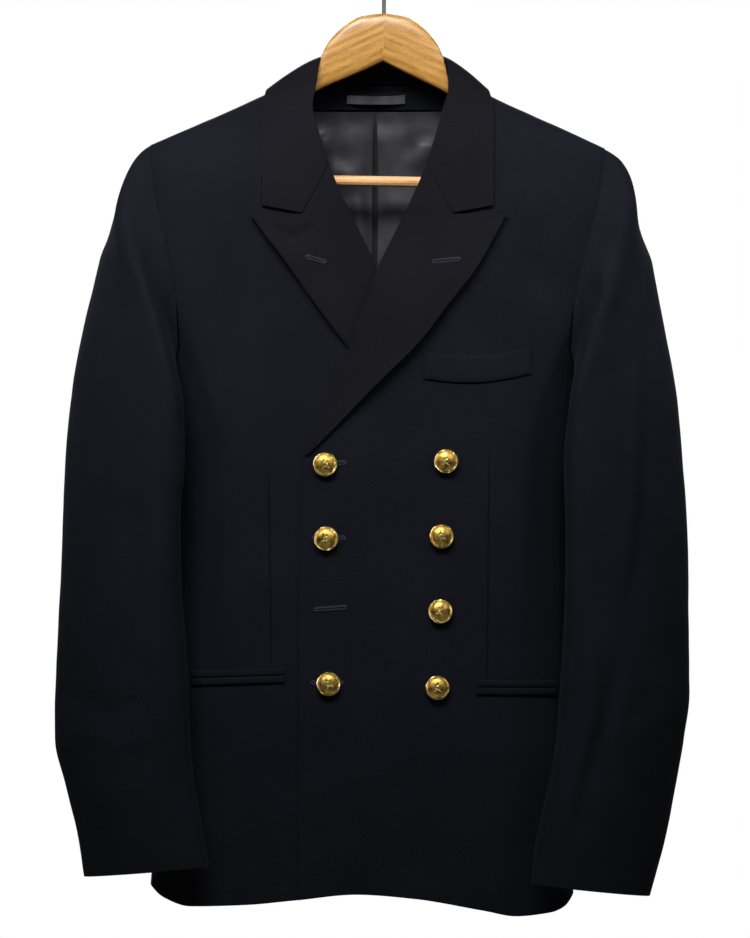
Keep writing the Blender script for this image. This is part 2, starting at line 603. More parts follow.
SIDE_NAME = {RIGHT: "right", LEFT: "left"}
HALF_WIDTH = {side: Curve(BODY, "height", SIDE_NAME[side]) for side in SIDE_NAME}
DEPTH = {FRONT: Curve(BODY, "height", "front"), BACK: Curve(BODY, "height", "back")}
INSET = Curve(ARMHOLE, "drop", "inset")
HEM_LINE = Curve(HEM, "x", "height")
ROLL_LINE = Curve(ROLL, "height", "past")
LAPEL_EDGE = {
    LEFT: Curve(LAPEL_EDGE_LEFT, "height", "past"),
    RIGHT: Curve(LAPEL_EDGE_RIGHT, "height", "past"),
}
GORGE_PAST, GORGE_HEIGHT = Curve(GORGE, "share", "past"), Curve(GORGE, "share", "height")
COLLAR_LINE = {
    name: Curve([row for row in COLLAR if getattr(row, name) is not None], "share", name)
    for name in CollarStation._fields[1:]
}
LAPEL_FOOT = {LEFT: LAPEL_EDGE_LEFT[-1].height, RIGHT: LAPEL_EDGE_RIGHT[-1].height}


def turn_steps(count):
    """Even angles all the way round."""
    return [2 * pi * k / count for k in range(count)]


def side_of(x):
    return LEFT if x >= JACKET_X else RIGHT


def shoulder_height(side, distance):
    return straight(SHOULDER, "distance", SIDE_NAME[side], distance)


def tip_height(side):
    return shoulder_height(side, TIP_HALF)


def arch_depth(x, z, face):
    """How deep the body is at its middle for this height, drawn in towards the shoulder seam."""
    side = side_of(x)
    below = shoulder_height(side, abs(x - JACKET_X)) - z
    share = min(max(below / SHOULDER_ARCH, 0.0), 1.0)
    return DEPTH[face](z) * sqrt(max(1.0 - (1.0 - share) ** 2, NEVER_FLAT))


def body_depth(x, z, face):
    half = HALF_WIDTH[side_of(x)](z)
    across = min(abs(x - JACKET_X) / half, 1.0)
    return arch_depth(x, z, face) * (1.0 - across ** ROUNDING) ** (1.0 / ROUNDING)


def body_normal(x, y, z, face, step=1e-4):
    """The way out of the body's surface, the same on both sides of every seam."""
    side = side_of(x)
    below = shoulder_height(side, abs(x - JACKET_X)) - z
    if below < AT_SEAM:
        fall = shoulder_height(side, TIP_HALF) - shoulder_height(side, NECK_HALF)
        return Vector((-side * fall, 0.0, TIP_HALF - NECK_HALF)).normalized()
    half = HALF_WIDTH[side](z)
    deep = arch_depth(x, z, face)
    across = min(abs(x - JACKET_X) / half, 1.0)
    along = min(abs(y) / deep, 1.0)
    half_slope = (HALF_WIDTH[side](z + step) - HALF_WIDTH[side](z - step)) / (2 * step)
    deep_slope_x = (arch_depth(x + step, z, face) - arch_depth(x - step, z, face)) / (2 * step)
    deep_slope_z = (arch_depth(x, z + step, face) - arch_depth(x, z - step, face)) / (2 * step)
    bend = ROUNDING - 1.0
    slope_x = side * across ** bend / half - along ** ROUNDING * deep_slope_x / deep
    slope_y = face * along ** bend / deep
    slope_z = -(across ** ROUNDING * half_slope / half + along ** ROUNDING * deep_slope_z / deep)
    return Vector((slope_x, slope_y, slope_z)).normalized()


def body_point(x, z, face, out=0.0):
    """A point of the body's outer surface seen from the front or back, and its way out."""
    y = face * (GAP / 2 + body_depth(x, z, face))
    normal = body_normal(x, y, z, face)
    return Vector((x, y, z)) + normal * out, normal


def side_point(side, share, z):
    """A point of the side body: share runs from -1 at the front seam to 1 at the back seam."""
    face = FRONT if share < 0 else BACK
    limit = (1.0 - SEAM_FRACTION ** ROUNDING) ** (1.0 / ROUNDING)
    along = abs(share) * limit
    half = HALF_WIDTH[side](z)
    x = JACKET_X + side * half * (1.0 - along ** ROUNDING) ** (1.0 / ROUNDING)
    y = face * (GAP / 2 + along * DEPTH[face](z))
    return Vector((x, y, z)), body_normal(x, y, z, face)


def underarm_height(side):
    return tip_height(side) - ARMHOLE_DEPTH


def armhole_half(side, z):
    """Distance of the armhole's front or back edge from the centre at one height."""
    end = SEAM_FRACTION * HALF_WIDTH[side](underarm_height(side))
    stretch = (TIP_HALF - end) / INSET(ARMHOLE_DEPTH)
    return TIP_HALF - INSET(tip_height(side) - z) * stretch


def outer_half(side, z):
    if z >= underarm_height(side):
        return armhole_half(side, z)
    return SEAM_FRACTION * HALF_WIDTH[side](z)


def overlap_rise(x, z):
    """How far the left front stands off the body's surface because it lies on the right one."""
    rise = OVERLAP_RISE * ease((OVERLAP_TOP - z) / OVERLAP_FADE)
    rise *= ease((OVERLAP_EDGE - x) / OVERLAP_EDGE_FADE)
    roll_x = JACKET_X + ROLL_LINE(z)
    near_roll = ease((ROLL_NEAR - (x - roll_x)) / ROLL_FADE)
    return rise + CROSS_RISE * exp(-((z - CROSS_MIDDLE) / CROSS_SPREAD) ** 2) * near_roll


def left_front_point(x, z, out=0.0):
    return body_point(x, z, FRONT, out + overlap_rise(x, z))


def panel_rows(lower, upper):
    """Steps up a front or back: hem to underarm, then to the shoulder, closer near the seam."""
    steps = [("lower", j / lower) for j in range(lower)]
    steps += [("upper", 1.0 - (1.0 - j / upper) ** ROW_CLOSING) for j in range(upper + 1)]
    return steps


def front_inner(side, z):
    """The roll line and the front edge."""
    return JACKET_X + side * ROLL_LINE(z)


def front_place(side, across, part, share):
    """Front-view place of one point of a front panel."""
    underarm = underarm_height(side)
    if part == "lower":
        outer = JACKET_X + side * outer_half(side, HEM_LEVEL)
        start = mix(front_inner(side, HEM_LEVEL), outer, across)
        z = mix(HEM_LINE(start), underarm, share)
        return mix(front_inner(side, z), JACKET_X + side * outer_half(side, z), across), z
    z_inner = mix(underarm, shoulder_height(side, NECK_HALF), share)
    z_outer = mix(underarm, tip_height(side), share)
    inner = front_inner(side, z_inner)
    outer = JACKET_X + side * armhole_half(side, z_outer)
    return mix(inner, outer, across), mix(z_inner, z_outer, across)


def across_steps(count):
    """Even steps that close up towards the side."""
    return [i / count * (1.0 + COLUMN_CLOSING * (1.0 - i / count)) for i in range(count + 1)]


def back_place(side, across, part, share):
    """Front-view place of one point of a back panel."""
    underarm = underarm_height(side)
    if part == "lower":
        start = JACKET_X + side * outer_half(side, HEM_LEVEL) * across
        z = mix(HEM_LINE(start), underarm, share)
        return JACKET_X + side * outer_half(side, z) * across, z
    z_outer = mix(underarm, tip_height(side), share)
    z = mix(mix(underarm, NECK_BACK, share), z_outer, across)
    distance = armhole_half(side, z_outer) * across
    neck_line = mix(NECK_BACK, shoulder_height(side, NECK_HALF), min(distance / NECK_HALF, 1.0) ** 2)
    top = neck_line if distance < NECK_HALF else shoulder_height(side, distance)
    z += share ** 3 * (top - mix(NECK_BACK, tip_height(side), across))
    return JACKET_X + side * distance, z


def side_top(side, share):
    return underarm_height(side) - SIDE_ARCH * (1.0 - share ** 2)


class ArmholeLoop:
    """The armhole as a closed line, read by an angle from the underarm, front first."""

    def __init__(self, side, fine=40):
        underarm, tip = underarm_height(side), tip_height(side)
        front = [side_point(side, -i / fine, side_top(side, i / fine)) for i in range(fine)]
        back = [side_point(side, i / fine, side_top(side, i / fine)) for i in range(fine)]
        for i in range(2 * fine):
            z = mix(underarm, tip, 1.0 - (1.0 - i / (2 * fine)) ** 2)
            x = JACKET_X + side * armhole_half(side, z)
            front.append(body_point(x, z, FRONT))
            back.append(body_point(x, z, BACK))
        top = body_point(JACKET_X + side * TIP_HALF, tip, FRONT)
        self.points = front + [top] + back[:0:-1]
        self.run = [0.0]
        for (a, _), (b, _) in zip(self.points, self.points[1:] + self.points[:1]):
            self.run.append(self.run[-1] + (b - a).length)

    def __call__(self, angle):
        place = angle % (2 * pi) / (2 * pi) * self.run[-1]
        i = min(bisect_right(self.run, place) - 1, len(self.points) - 1)
        share = (place - self.run[i]) / (self.run[i + 1] - self.run[i])
        (a, normal_a), (b, normal_b) = self.points[i], self.points[(i + 1) % len(self.points)]
        return a.lerp(b, share), normal_a.lerp(normal_b, share).normalized()


class Sleeve:
    """The middle surface of a sleeve's cloth: an angle round it and a place along it. Its edge butts
    against the softened armhole, and it grows soft further down."""

    def __init__(self, side):
        self.side = side
        self.armhole = ArmholeLoop(side)
        rows = SLEEVES[side]
        self.column = {name: Curve(rows, "ring", name) for name in SleeveRing._fields[1:]}

    def ring(self, angle, along):
        read = {name: curve(along) for name, curve in self.column.items()}
        turn = angle - SLEEVE_TURN
        middle = (read["outer_x"] + read["inner_x"]) / 2
        reach = (read["outer_x"] - read["inner_x"]) / 2
        deep = (read["back"] - read["front"]) / 2
        x = self.side * (middle - reach * cos(turn))
        y = (read["back"] + read["front"]) / 2 - deep * sin(turn + radians(read["slant"]))
        z = mix(read["outer_z"], read["inner_z"], (1.0 + cos(turn)) / 2)
        return Vector((x, y, z))

    def point(self, angle, along):
        if along >= 1.0:
            return self.ring(angle, along)
        plain, normal = self.armhole(angle)
        start = soften("body", (plain, normal))[0]
        ahead = self.armhole(angle + SEAM_LOOK)[0] - self.armhole(angle - SEAM_LOOK)[0]
        away = ahead.cross(normal).normalized() * self.side
        high = (1.0 - cos(angle)) / 2
        butt = ease((high - BUTT_FROM) / BUTT_OVER)
        start = start + normal * mix(GAP + CLOTH / 2 + SEAM_STEP, -CLOTH / 2, butt) + away * SEWN_GAP
        end = self.ring(angle, 1.0)
        span = (end - start).length
        out, up = mix(CAP_LOW.out, CAP_HIGH.out, high), mix(CAP_LOW.up, CAP_HIGH.up, high)
        along_normal = mix(CAP_LOW.along_normal, CAP_HIGH.along_normal, high)
        lead = (Vector((self.side * out, 0.0, up)) + normal * along_normal) * span
        trail = (self.ring(angle, CAP_LOOK) - end).normalized() * span
        return cubic(start, end, lead, trail, along)

    def place(self, angle, along):
        low, high = max(along - SLEEVE_LOOK, 0.0), min(along + SLEEVE_LOOK, CUFF_RING)
        down = self.point(angle, high) - self.point(angle, low)
        around = self.point(angle + SLEEVE_LOOK, along) - self.point(angle - SLEEVE_LOOK, along)
        normal = down.cross(around).normalized() * self.side
        return self.point(angle, along), normal

    def sewn(self, angle, along):
        point, normal = self.place(angle, along)
        soft = (unevenness(point) + creases("sleeve", point, normal)) * ease(along / SEWN_FADE)
        full = CAP_EASE[self.side]
        eased = full.height * exp(-((along - full.at) / full.over) ** 2) * ((1.0 - cos(angle)) / 2) ** 2
        return point + normal * (soft + eased * min(along * CAP_EASE_START, 1.0)), normal


def gorge_line(share, tip):
    """The seam between lapel and collar, then the edge out to the lapel's tip or collar's corner."""
    corner = GORGE[-1]
    if share <= corner.share:
        return GORGE_PAST(share), GORGE_HEIGHT(share)
    out = (share - corner.share) / (1.0 - corner.share)
    return mix(corner.past, tip[0], out), mix(corner.height, tip[1], out)


def lapel_inner(side, z):
    past = ROLL_LINE(z)
    if side == RIGHT:
        return max(past, -past - LAPEL_TUCK)
    return past


def collar_point(share, across):
    """The middle of the collar's fall: across runs from the fold to its outer edge."""
    on_front = 1.0 - ease((share - COLLAR_LEAVES_FRONT) / COLLAR_LEAVES_OVER)
    rest = DOUBLE_CLOTH / 2 + COLLAR_REST
    ends = []
    for name in ("fold", "edge"):
        x, y, z = (COLLAR_LINE[name + end](share) for end in ("_out", "_y", "_z"))
        flat = body_point(JACKET_X + x, z, FRONT, rest)[0].y
        ends.append(Vector((JACKET_X + x, mix(y, flat, on_front), z)))
    fold, edge = ends
    outward = Vector((edge.x - fold.x, edge.y - fold.y, 0.0)).normalized()
    knee = fold.lerp(edge, mix(COLLAR_KNEE, COLLAR_KNEE_FRONT, on_front))
    knee += (outward + Vector((0.0, 0.0, 1.0))) * COLLAR_LINE["arch"](share)
    point = fold * (1 - across) ** 2 + knee * (2 * across * (1 - across)) + edge * across ** 2
    front_end = max(1.0 - share / COLLAR_END_REACH, 0.0) ** COLLAR_END_BEND
    if front_end > 0.0:
        past, height = gorge_line(across, COLLAR_CORNER)
        first, last = GORGE[0], COLLAR_CORNER
        point.x += front_end * (past - mix(first.past, last[0], across))
        point.z += front_end * (height + GAP - mix(first.height, last[1], across))
    flat = body_point(point.x, point.z, FRONT, rest)[0].y
    point.y = mix(point.y, flat, on_front)
    return clear_of_body(point)


def clear_of_body(point):
    """Moves a point of the collar out of the body's cloth where it would touch."""
    rest = DOUBLE_CLOTH / 2 + COLLAR_REST
    distance = point.x - JACKET_X
    below = shoulder_height(LEFT, distance) - point.z
    if below < SHOULDER_EDGE or distance < NECK_HALF / 2 and point.y > 0:
        return point
    face = FRONT if point.y < 0.0 else BACK
    skin, normal = body_point(point.x, point.z, face, 0.0)
    short = rest - (point - skin).dot(normal)
    return point + normal * max(short, 0.0)


def mirrored(point, side, shift=0.0):
    x = JACKET_X + shift + side * (point.x - JACKET_X)
    return Vector((x, point.y, point.z))


def surface_grid(place, columns, rows, step=0.004):
    """Points of a surface with normals from its own slopes."""
    grid = []
    for a in columns:
        line = []
        for b in rows:
            a_low, a_high = max(a - step, columns[0]), min(a + step, columns[-1])
            b_low, b_high = max(b - step, rows[0]), min(b + step, rows[-1])
            along = place(a_high, b) - place(a_low, b)
            over = place(a, b_high) - place(a, b_low)
            line.append((place(a, b), along.cross(over).normalized()))
        grid.append(line)
    return grid


def collar_place(turn, across):
    """The whole collar: turn runs from -1 at the right gorge through 0 at the back to 1."""
    side = LEFT if turn >= 0 else RIGHT
    share = 1.0 - abs(turn)
    shift = COLLAR_SHIFT * ease((share - COLLAR_SHIFT_FROM) / COLLAR_SHIFT_OVER) * (1.0 - across)
    return mirrored(collar_point(share, across), side, shift)


def stand_foot(share):
    """Where the stand meets the neck seam, on the wearer's left."""
    if share < SHOULDER_SHARE:
        climb = (share - STAND_START) / (SHOULDER_SHARE - STAND_START)
        z = mix(STAND_START_HEIGHT, shoulder_height(LEFT, NECK_HALF) - STAND_BELOW, climb)
        point = body_point(JACKET_X + ROLL_LINE(z), z, FRONT)[0]
    else:
        distance = NECK_HALF * sin((1.0 - share) / (1.0 - SHOULDER_SHARE) * pi / 2)
        z = mix(NECK_BACK, shoulder_height(LEFT, NECK_HALF), (distance / NECK_HALF) ** 2)
        point = body_point(JACKET_X + distance, z, BACK)[0]
    return point + Vector((0.0, 0.0, STAND_STEP))


@lru_cache(maxsize=None)
def stand_line(turn, steps=24):
    """The stand's foot and top at one station: it ends where the fall's inside leaves it room."""
    foot = mirrored(stand_foot(1.0 - abs(turn)), LEFT if turn >= 0 else RIGHT)
    fold = collar_place(turn, 0.0)
    near = [turn + shift for shift in STAND_LOOK if abs(turn + shift) <= 1.0]
    fall = [collar_place(a, across) for a in near for across in even(steps)]
    room = [min((foot.lerp(fold, up) - point).length for point in fall) for up in even(steps)]
    last = next(i for i, distance in enumerate(room) if distance < STAND_CLEAR)
    up = last - (STAND_CLEAR - room[last]) / (room[last - 1] - room[last])
    return foot, foot.lerp(fold, up / steps)


def stand_place(turn, up):
    foot, top = stand_line(turn)
    return foot.lerp(top, up)


def inside_half(side, z, step=0.002):
    """How far a sheet inside the back may reach sideways at one height."""
    under_shoulder = TIP_HALF
    while under_shoulder > 0.0 and shoulder_height(side, under_shoulder) - LINING_FROM_SHOULDER < z:
        under_shoulder -= step
    return min(under_shoulder, outer_half(side, z) - LINING_FROM_SIDE)


def tilt_hanger(x, z):
    """Turns a point of the hanger a little about its dome, as the jacket hangs."""
    apex = HANGER[0].top
    drop = z - apex
    turned_x = x * cos(HANGER_TILT) + drop * sin(HANGER_TILT)
    return turned_x, apex + drop * cos(HANGER_TILT) - x * sin(HANGER_TILT)


def along_line(points, x, z):
    """Distance from a broken line seen from the front, and the share of its length passed there."""
    spot = Vector((x, z))
    best, share, passed = 1e9, 0.0, 0.0
    for start, end in zip(points, points[1:]):
        run = Vector(end) - Vector(start)
        step = min(max((spot - Vector(start)).dot(run) / run.length_squared, 0.0), 1.0)
        gap = (spot - Vector(start) - run * step).length
        if gap < best:
            best, share = gap, passed + run.length * step
        passed += run.length
    return best, share / passed


@lru_cache(maxsize=None)
def crease_box(crease):
    """Lowest and highest X and Z that a crease reaches."""
    reach = CREASE_REACH * crease.width
    across, up = zip(*crease.points)
    return min(across) - reach, max(across) + reach, min(up) - reach, max(up) + reach


def crease_height(crease, x, z):
    left, right, foot, top = crease_box(crease)
    if not (left < x < right and foot < z < top):
        return 0.0
    gap, share = along_line(crease.points, x, z)
    if gap > CREASE_REACH * crease.width:
        return 0.0
    fade = ease(share / CREASE_END + CREASE_START) * ease((1.0 - share) / CREASE_END + CREASE_START)
    return crease.height * fade * exp(-(gap / crease.width) ** 2)


def unevenness(point):
    """The slow unevenness that any hanging cloth has."""
    wave = WAVE_HEIGHT * noise.noise(point / WAVE_SIZE)
    return wave + RIPPLE_HEIGHT * noise.noise(point / RIPPLE_SIZE)


def creases(part, point, normal):
    face = FRONT if normal.y < 0 else BACK
    turned = ease(abs(normal.y) * CREASE_TURN)
    found = CREASES.get((part, face), ())
    return turned * sum(crease_height(row, point.x, point.z) for row in found)


def soften(part, place, out=0.0):
    """Moves a point of the plain form to where the soft cloth lies."""
    point, normal = place
    return point + normal * (out + unevenness(point) + creases(part, point, normal)), normal


def front_cloth(side, x, z, out=0.0):
    """A point on one of the fronts, moved out: all that lies on a front is made from this."""
    place = left_front_point(x, z) if side == LEFT else body_point(x, z, FRONT)
    return soften("body", place, out)


def front_grid(side, columns, lower, upper):
    grid = []
    for across in across_steps(columns):
        line = []
        for part, share in panel_rows(lower, upper):
            x, z = front_place(side, across, part, share)
            if across == 1.0:
                x -= side * SEWN
            line.append(front_cloth(side, x, z))
        grid.append(line)
    return grid


def back_grid(side, columns, lower, upper):
    steps = across_steps(columns)
    neck_column = min(range(len(steps)), key=lambda i: abs(steps[i] - NECK_HALF / TIP_HALF))
    steps[neck_column] = NECK_HALF / TIP_HALF
    grid = []
    for across in steps:
        line = []
        for part, share in panel_rows(lower, upper):
            x, z = back_place(side, across, part, share)
            if across == 1.0:
                x -= side * SEWN
            if across == 0.0:
                x += side * SEWN
            point, normal = soften("body", body_point(x, z, BACK))
            if across == 0.0:
                normal = Vector((0.0, normal.y, normal.z)).normalized()
            line.append((point, normal))
        grid.append(line)
    return grid


def side_grid(side, columns, rows):
    edge = 1.0 - SEWN_SIDE
    grid = []
    for share in even(columns, -edge, edge):
        start = side_point(side, share, HEM_LEVEL)[0].x
        heights = even(rows, HEM_LINE(start), side_top(side, share))
        grid.append([soften("body", side_point(side, share, z)) for z in heights])
    return grid


def sleeve_grid(sleeve, start, end, columns, cap_rows, lower_rows):
    along = [j / cap_rows for j in range(cap_rows)]
    along += even(lower_rows, 1.0, CUFF_RING)
    angles = even(columns, start + SEWN_TURN, end - SEWN_TURN)
    return [[sleeve.sewn(angle, step) for step in along] for angle in angles]


def lapel_flat(side, across, up):
    """Where a point of the turned-back lapel lies, seen from the front, and how far it stands off."""
    foot, tip = LAPEL_FOOT[side], LAPEL_TIP[side]
    roll_end = GORGE[0]
    inner_z, outer_z = mix(foot, roll_end.height, up), mix(foot, tip[1], up)
    inner = lapel_inner(side, inner_z)
    outer = max(LAPEL_EDGE[side](outer_z), inner + LAPEL_NARROWEST)
    past, z = mix(inner, outer, across), mix(inner_z, outer_z, across)
    end_past, end_z = gorge_line(across, tip)
    bend = up ** LAPEL_BEND
    past += bend * (end_past - mix(lapel_inner(side, roll_end.height), tip[0], across))
    z += bend * (end_z - GAP - mix(roll_end.height, tip[1], across))
    lift = LAPEL_LIFT * across ** 2 * ease(up * LIFT_RISE) * (1.0 - LIFT_LOSS * up)
    held = 1.0 - PEAK_LOSS * ease((up - PEAK_FROM) / PEAK_OVER)
    free = ease((up - LAPEL_FREE[side]) / LAPEL_FREE_OVER) * held
    return JACKET_X + side * past, z, lift + LAPEL_ROLL * across ** 2 * free


def lapel_place(side, across, up, out=0.0):
    x, z, lift = lapel_flat(side, across, up)
    return front_cloth(side, x, z, LAID_GAP + lift + out)


def on_lapel(side, x, z, out):
    """A point above the lapel's face at a place seen from the front."""
    (across, up), step = LAPEL_START, LAPEL_STEP
    for _ in range(LAPEL_TRIES):
        here = lapel_flat(side, across, up)
        over = lapel_flat(side, across + step, up)
        above = lapel_flat(side, across, up + step)
        a, b = (over[0] - here[0]) / step, (above[0] - here[0]) / step
        c, d = (over[1] - here[1]) / step, (above[1] - here[1]) / step
        miss_x, miss_z = x - here[0], z - here[1]
        turn = a * d - b * c
        across += (d * miss_x - b * miss_z) / turn
        up += (a * miss_z - c * miss_x) / turn
    point, normal = lapel_place(side, across, up, DOUBLE_CLOTH + out)
    return point + normal * creases("lapel", point, normal), normal


def strip_grid(side, ends_x, top_ends, height, sag, out, columns, rows):
    """A narrow strip laid on a front: a welt, a jet or a pocket's mouth."""
    grid = []
    for across in even(columns):
        x = mix(*ends_x, across)
        top = mix(*top_ends, across) - sag * sin(pi * across)
        grid.append([front_cloth(side, x, top - height * (1.0 - up), out) for up in even(rows)])
    return grid


def lining_steps():
    """Places across the lining, closer together at its centre pleat."""
    half = [*PLEAT_STEPS]
    half += [half[-1] + (1.0 - half[-1]) * i / LINING_COLUMNS for i in range(1, LINING_COLUMNS + 1)]
    return [-step for step in half[:0:-1]] + [-PLEAT_LIP] + half


def inside_grid(top, foot, half_limit, rows, steps, loose):
    """A sheet inside the back, on the back's cloth. A loose one hangs off it in soft folds."""
    grid = []
    for across in steps:
        side = LEFT if across >= 0 else RIGHT
        line = []
        top_edge = top + LINING_TOP_SAG * across ** 2
        for z in even(rows, foot, top_edge):
            half = min(inside_half(side, z), half_limit)
            place = body_point(JACKET_X + across * half, z, BACK)
            point, normal = soften("body", place)
            if loose:
                slack = LINING_SLACK - creases("lining", *place)
                x = across * half
                fold = PLEAT_HEIGHT * exp(-x / PLEAT_FADE) if across >= 0.0 else 0.0
                fold -= PLEAT_DEEP * exp(-((x - PLEAT_AT) / PLEAT_HALF) ** 2)
                point = point - normal * (fold + slack) * ease((top_edge - z) / LINING_FREE)
            line.append((point, normal))
        grid.append(line)
    return grid


def measure(grid):
    """Width, length and area of a grid's own surface."""
    columns, rows = len(grid), len(grid[0])
    points = [[place[0] for place in line] for line in grid]
    length, width = (
        max(sum((b - a).length for a, b in zip(line, line[1:])) for line in lines)
        for lines in (points, list(zip(*points)))
    )
    area = 0.0
    for i in range(columns - 1):
        for j in range(rows - 1):
            first = points[i + 1][j + 1] - points[i][j]
            second = points[i][j + 1] - points[i + 1][j]
            area += first.cross(second).length / 2
    return width, length, area


def cloth_shell(name, grid, low, high, rise=None):
    """A thin closed shell between two offsets of a grid. Its weave attribute holds metres across and
    along."""
    columns, rows = len(grid), len(grid[0])
    mesh = bmesh.new()
    weave = mesh.verts.layers.float_vector.new("weave")
    middle_row, middle_column = rows // 2, columns // 2
    across, along = [0.0], [0.0]
    for i in range(columns - 1):
        across.append(across[-1] + (grid[i + 1][middle_row][0] - grid[i][middle_row][0]).length)
    for j in range(rows - 1):
        along.append(along[-1] + (grid[middle_column][j + 1][0] - grid[middle_column][j][0]).length)

    def layer(offset, use_rise):
        made = []
        for i, line in enumerate(grid):
            made.append([])
            for j, (point, normal) in enumerate(line):
                more = rise(i, j) if use_rise and rise else 0.0
                vertex = mesh.verts.new(point + normal * (offset + more))
                vertex[weave] = (across[i], along[j], 0.0)
                made[-1].append(vertex)
        return made

    outer, inner = layer(high, True), layer(low, False)
    for i in range(columns - 1):
        for j in range(rows - 1):
            mesh.faces.new((outer[i][j], outer[i + 1][j], outer[i + 1][j + 1], outer[i][j + 1]))
            mesh.faces.new((inner[i][j], inner[i][j + 1], inner[i + 1][j + 1], inner[i + 1][j]))
    rim = [(i, 0) for i in range(columns)] + [(columns - 1, j) for j in range(1, rows)]
    rim += [(i, rows - 1) for i in range(columns - 2, -1, -1)] + [(0, j) for j in range(rows - 2, 0, -1)]
    for (a, b), (c, d) in zip(rim, rim[1:] + rim[:1]):
        mesh.faces.new((outer[c][d], outer[a][b], inner[a][b], inner[c][d]))
    return mesh_piece(name, mesh)


def mesh_piece(name, mesh):
    """Turns a bmesh into a smooth-shaded object whose faces point out."""
    bmesh.ops.recalc_face_normals(mesh, faces=mesh.faces[:])
    data = bpy.data.meshes.new(name)
    mesh.to_mesh(data)
    mesh.free()
    data.shade_smooth()
    data.set_sharp_from_angle(angle=radians(40))
    piece = bpy.data.objects.new(name, data)
    bpy.context.scene.collection.objects.link(piece)
    return piece


def drill(piece, radius, start, end):
    """Cuts a round bore through a piece."""
    mesh = bmesh.new()
    add_tube(mesh, [start, end], radius, BORE_SIDES)
    cutter = mesh_piece("drill", mesh)
    cut = piece.modifiers.new("bore", "BOOLEAN")
    cut.object = cutter
    bored = piece.evaluated_get(bpy.context.evaluated_depsgraph_get())
    piece.data = bpy.data.meshes.new_from_object(bored)
    piece.modifiers.clear()
    bpy.data.objects.remove(cutter, do_unlink=True)


def round_edges(piece, width=EDGE_ROUND):
    bevel = piece.modifiers.new("turned edge", "BEVEL")
    bevel.width = width
    bevel.segments = 2
    bevel.limit_method = "ANGLE"
    bevel.angle_limit = radians(55)
    return piece


def place_piece(piece, nodes, slot, *materials):
    """Gives a piece its materials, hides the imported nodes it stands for, and lets it ride with the body."""
    for material in materials:
        piece.data.materials.append(material)
    if nodes:
        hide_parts(*nodes)
    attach(piece, "root")
    return piece


def lay_cloth(name, grid, low, high, slot, material, rise=None, edge=EDGE_ROUND):
    """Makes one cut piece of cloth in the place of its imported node."""
    piece = cloth_shell(name + "_cloth", grid, low, high, rise)
    if edge:
        round_edges(piece, edge)
    return place_piece(piece, [name], slot, material)


def cut_cloth(name, grid, low, high, slot, material, rests_on, rise=None, edge=EDGE_ROUND):
    """Makes one cut piece and states its flat size and how it is held."""
    piece = lay_cloth(name, grid, low, high, slot, material, rise, edge)
    width, length, area = measure(grid)
    flat = (round(width, 4), round(length, 4))
    round(min(area, flat[0] * flat[1]), 5)
    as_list(rests_on)
    return piece


def add_tube(mesh, path, radius, sides=6, closed=False, material=0):
    """Adds a thread or cord along a path of points to a mesh."""
    count = len(path)
    rings = []
    for i, point in enumerate(path):
        before = path[i - 1] if i or closed else point
        after = path[(i + 1) % count] if i < count - 1 or closed else point
        ahead = (after - before).normalized()
        across = ahead.cross(Vector((0.31, 0.82, 0.48))).normalized()
        up = across.cross(ahead)
        rings.append([mesh.verts.new(point + (across * cos(t) + up * sin(t)) * radius)
                      for t in turn_steps(sides)])
    pairs = list(zip(rings, rings[1:]))
    if closed:
        pairs.append((rings[-1], rings[0]))
    for first, second in pairs:
        for k in range(sides):
            after = (k + 1) % sides
            face = mesh.faces.new((first[k], first[after], second[after], second[k]))
            face.material_index = material
    if not closed:
        for ring in (rings[0][::-1], rings[-1]):
            mesh.faces.new(ring).material_index = material


def add_node(tree, kind, inputs=None, **settings):
    """Adds a shader node, sets what it is told to, and links or fills its inputs."""
    node = tree.nodes.new(kind)
    for name, value in settings.items():
        setattr(node, name, value)
    for name, value in (inputs or {}).items():
        if isinstance(value, bpy.types.NodeSocket):
            tree.links.new(value, node.inputs[name])
        else:
            node.inputs[name].default_value = value
    return node


def start_material(name, **shader_values):
    """A new material, its node tree, its surface shader with plain values set on its own sockets, and
    the place on the piece, in metres."""
    material = bpy.data.materials.new(name)
    material.use_nodes = True
    tree = material.node_tree
    shader = tree.nodes["Principled BSDF"]
    for socket, value in shader_values.items():
        shader.inputs[socket.replace("_", " ")].default_value = value
    return material, tree, shader, add_node(tree, "ShaderNodeTexCoord").outputs["Object"]


def finish_surface(tree, shader, colour, roughness=None, height=None, depth=0.0):
    """Links what varies over the surface: its colour, its roughness and its fine relief in metres."""
    tree.links.new(colour, shader.inputs["Base Color"])
    if roughness:
        tree.links.new(roughness, shader.inputs["Roughness"])
    if height:
        bump = add_node(tree, "ShaderNodeBump", {"Height": height, "Distance": depth, "Strength": 1.0})
        tree.links.new(bump.outputs["Normal"], shader.inputs["Normal"])


def two_tone(tree, factor, first, second):
    """A colour between two colours."""
    inputs = {"Factor": factor, 6: first, 7: second}
    return add_node(tree, "ShaderNodeMix", inputs, data_type="RGBA").outputs[2]


def spread(tree, value, low, high, to_low=0.0, to_high=1.0):
    """Stretches a value's range, with soft ends."""
    return add_node(
        tree, "ShaderNodeMapRange",
        {"Value": value, "From Min": low, "From Max": high, "To Min": to_low, "To Max": to_high},
        interpolation_type="SMOOTHSTEP",
    ).outputs["Result"]


def calculate(tree, operation, first, second=0.0, third=0.0):
    inputs = {0: first, 1: second, 2: third}
    return add_node(tree, "ShaderNodeMath", inputs, operation=operation).outputs[0]


def stretch(tree, vector, scale):
    """The place with each axis scaled: less than 1 draws a pattern out along that axis."""
    return add_node(tree, "ShaderNodeMapping", {"Vector": vector, "Scale": scale}).outputs["Vector"]


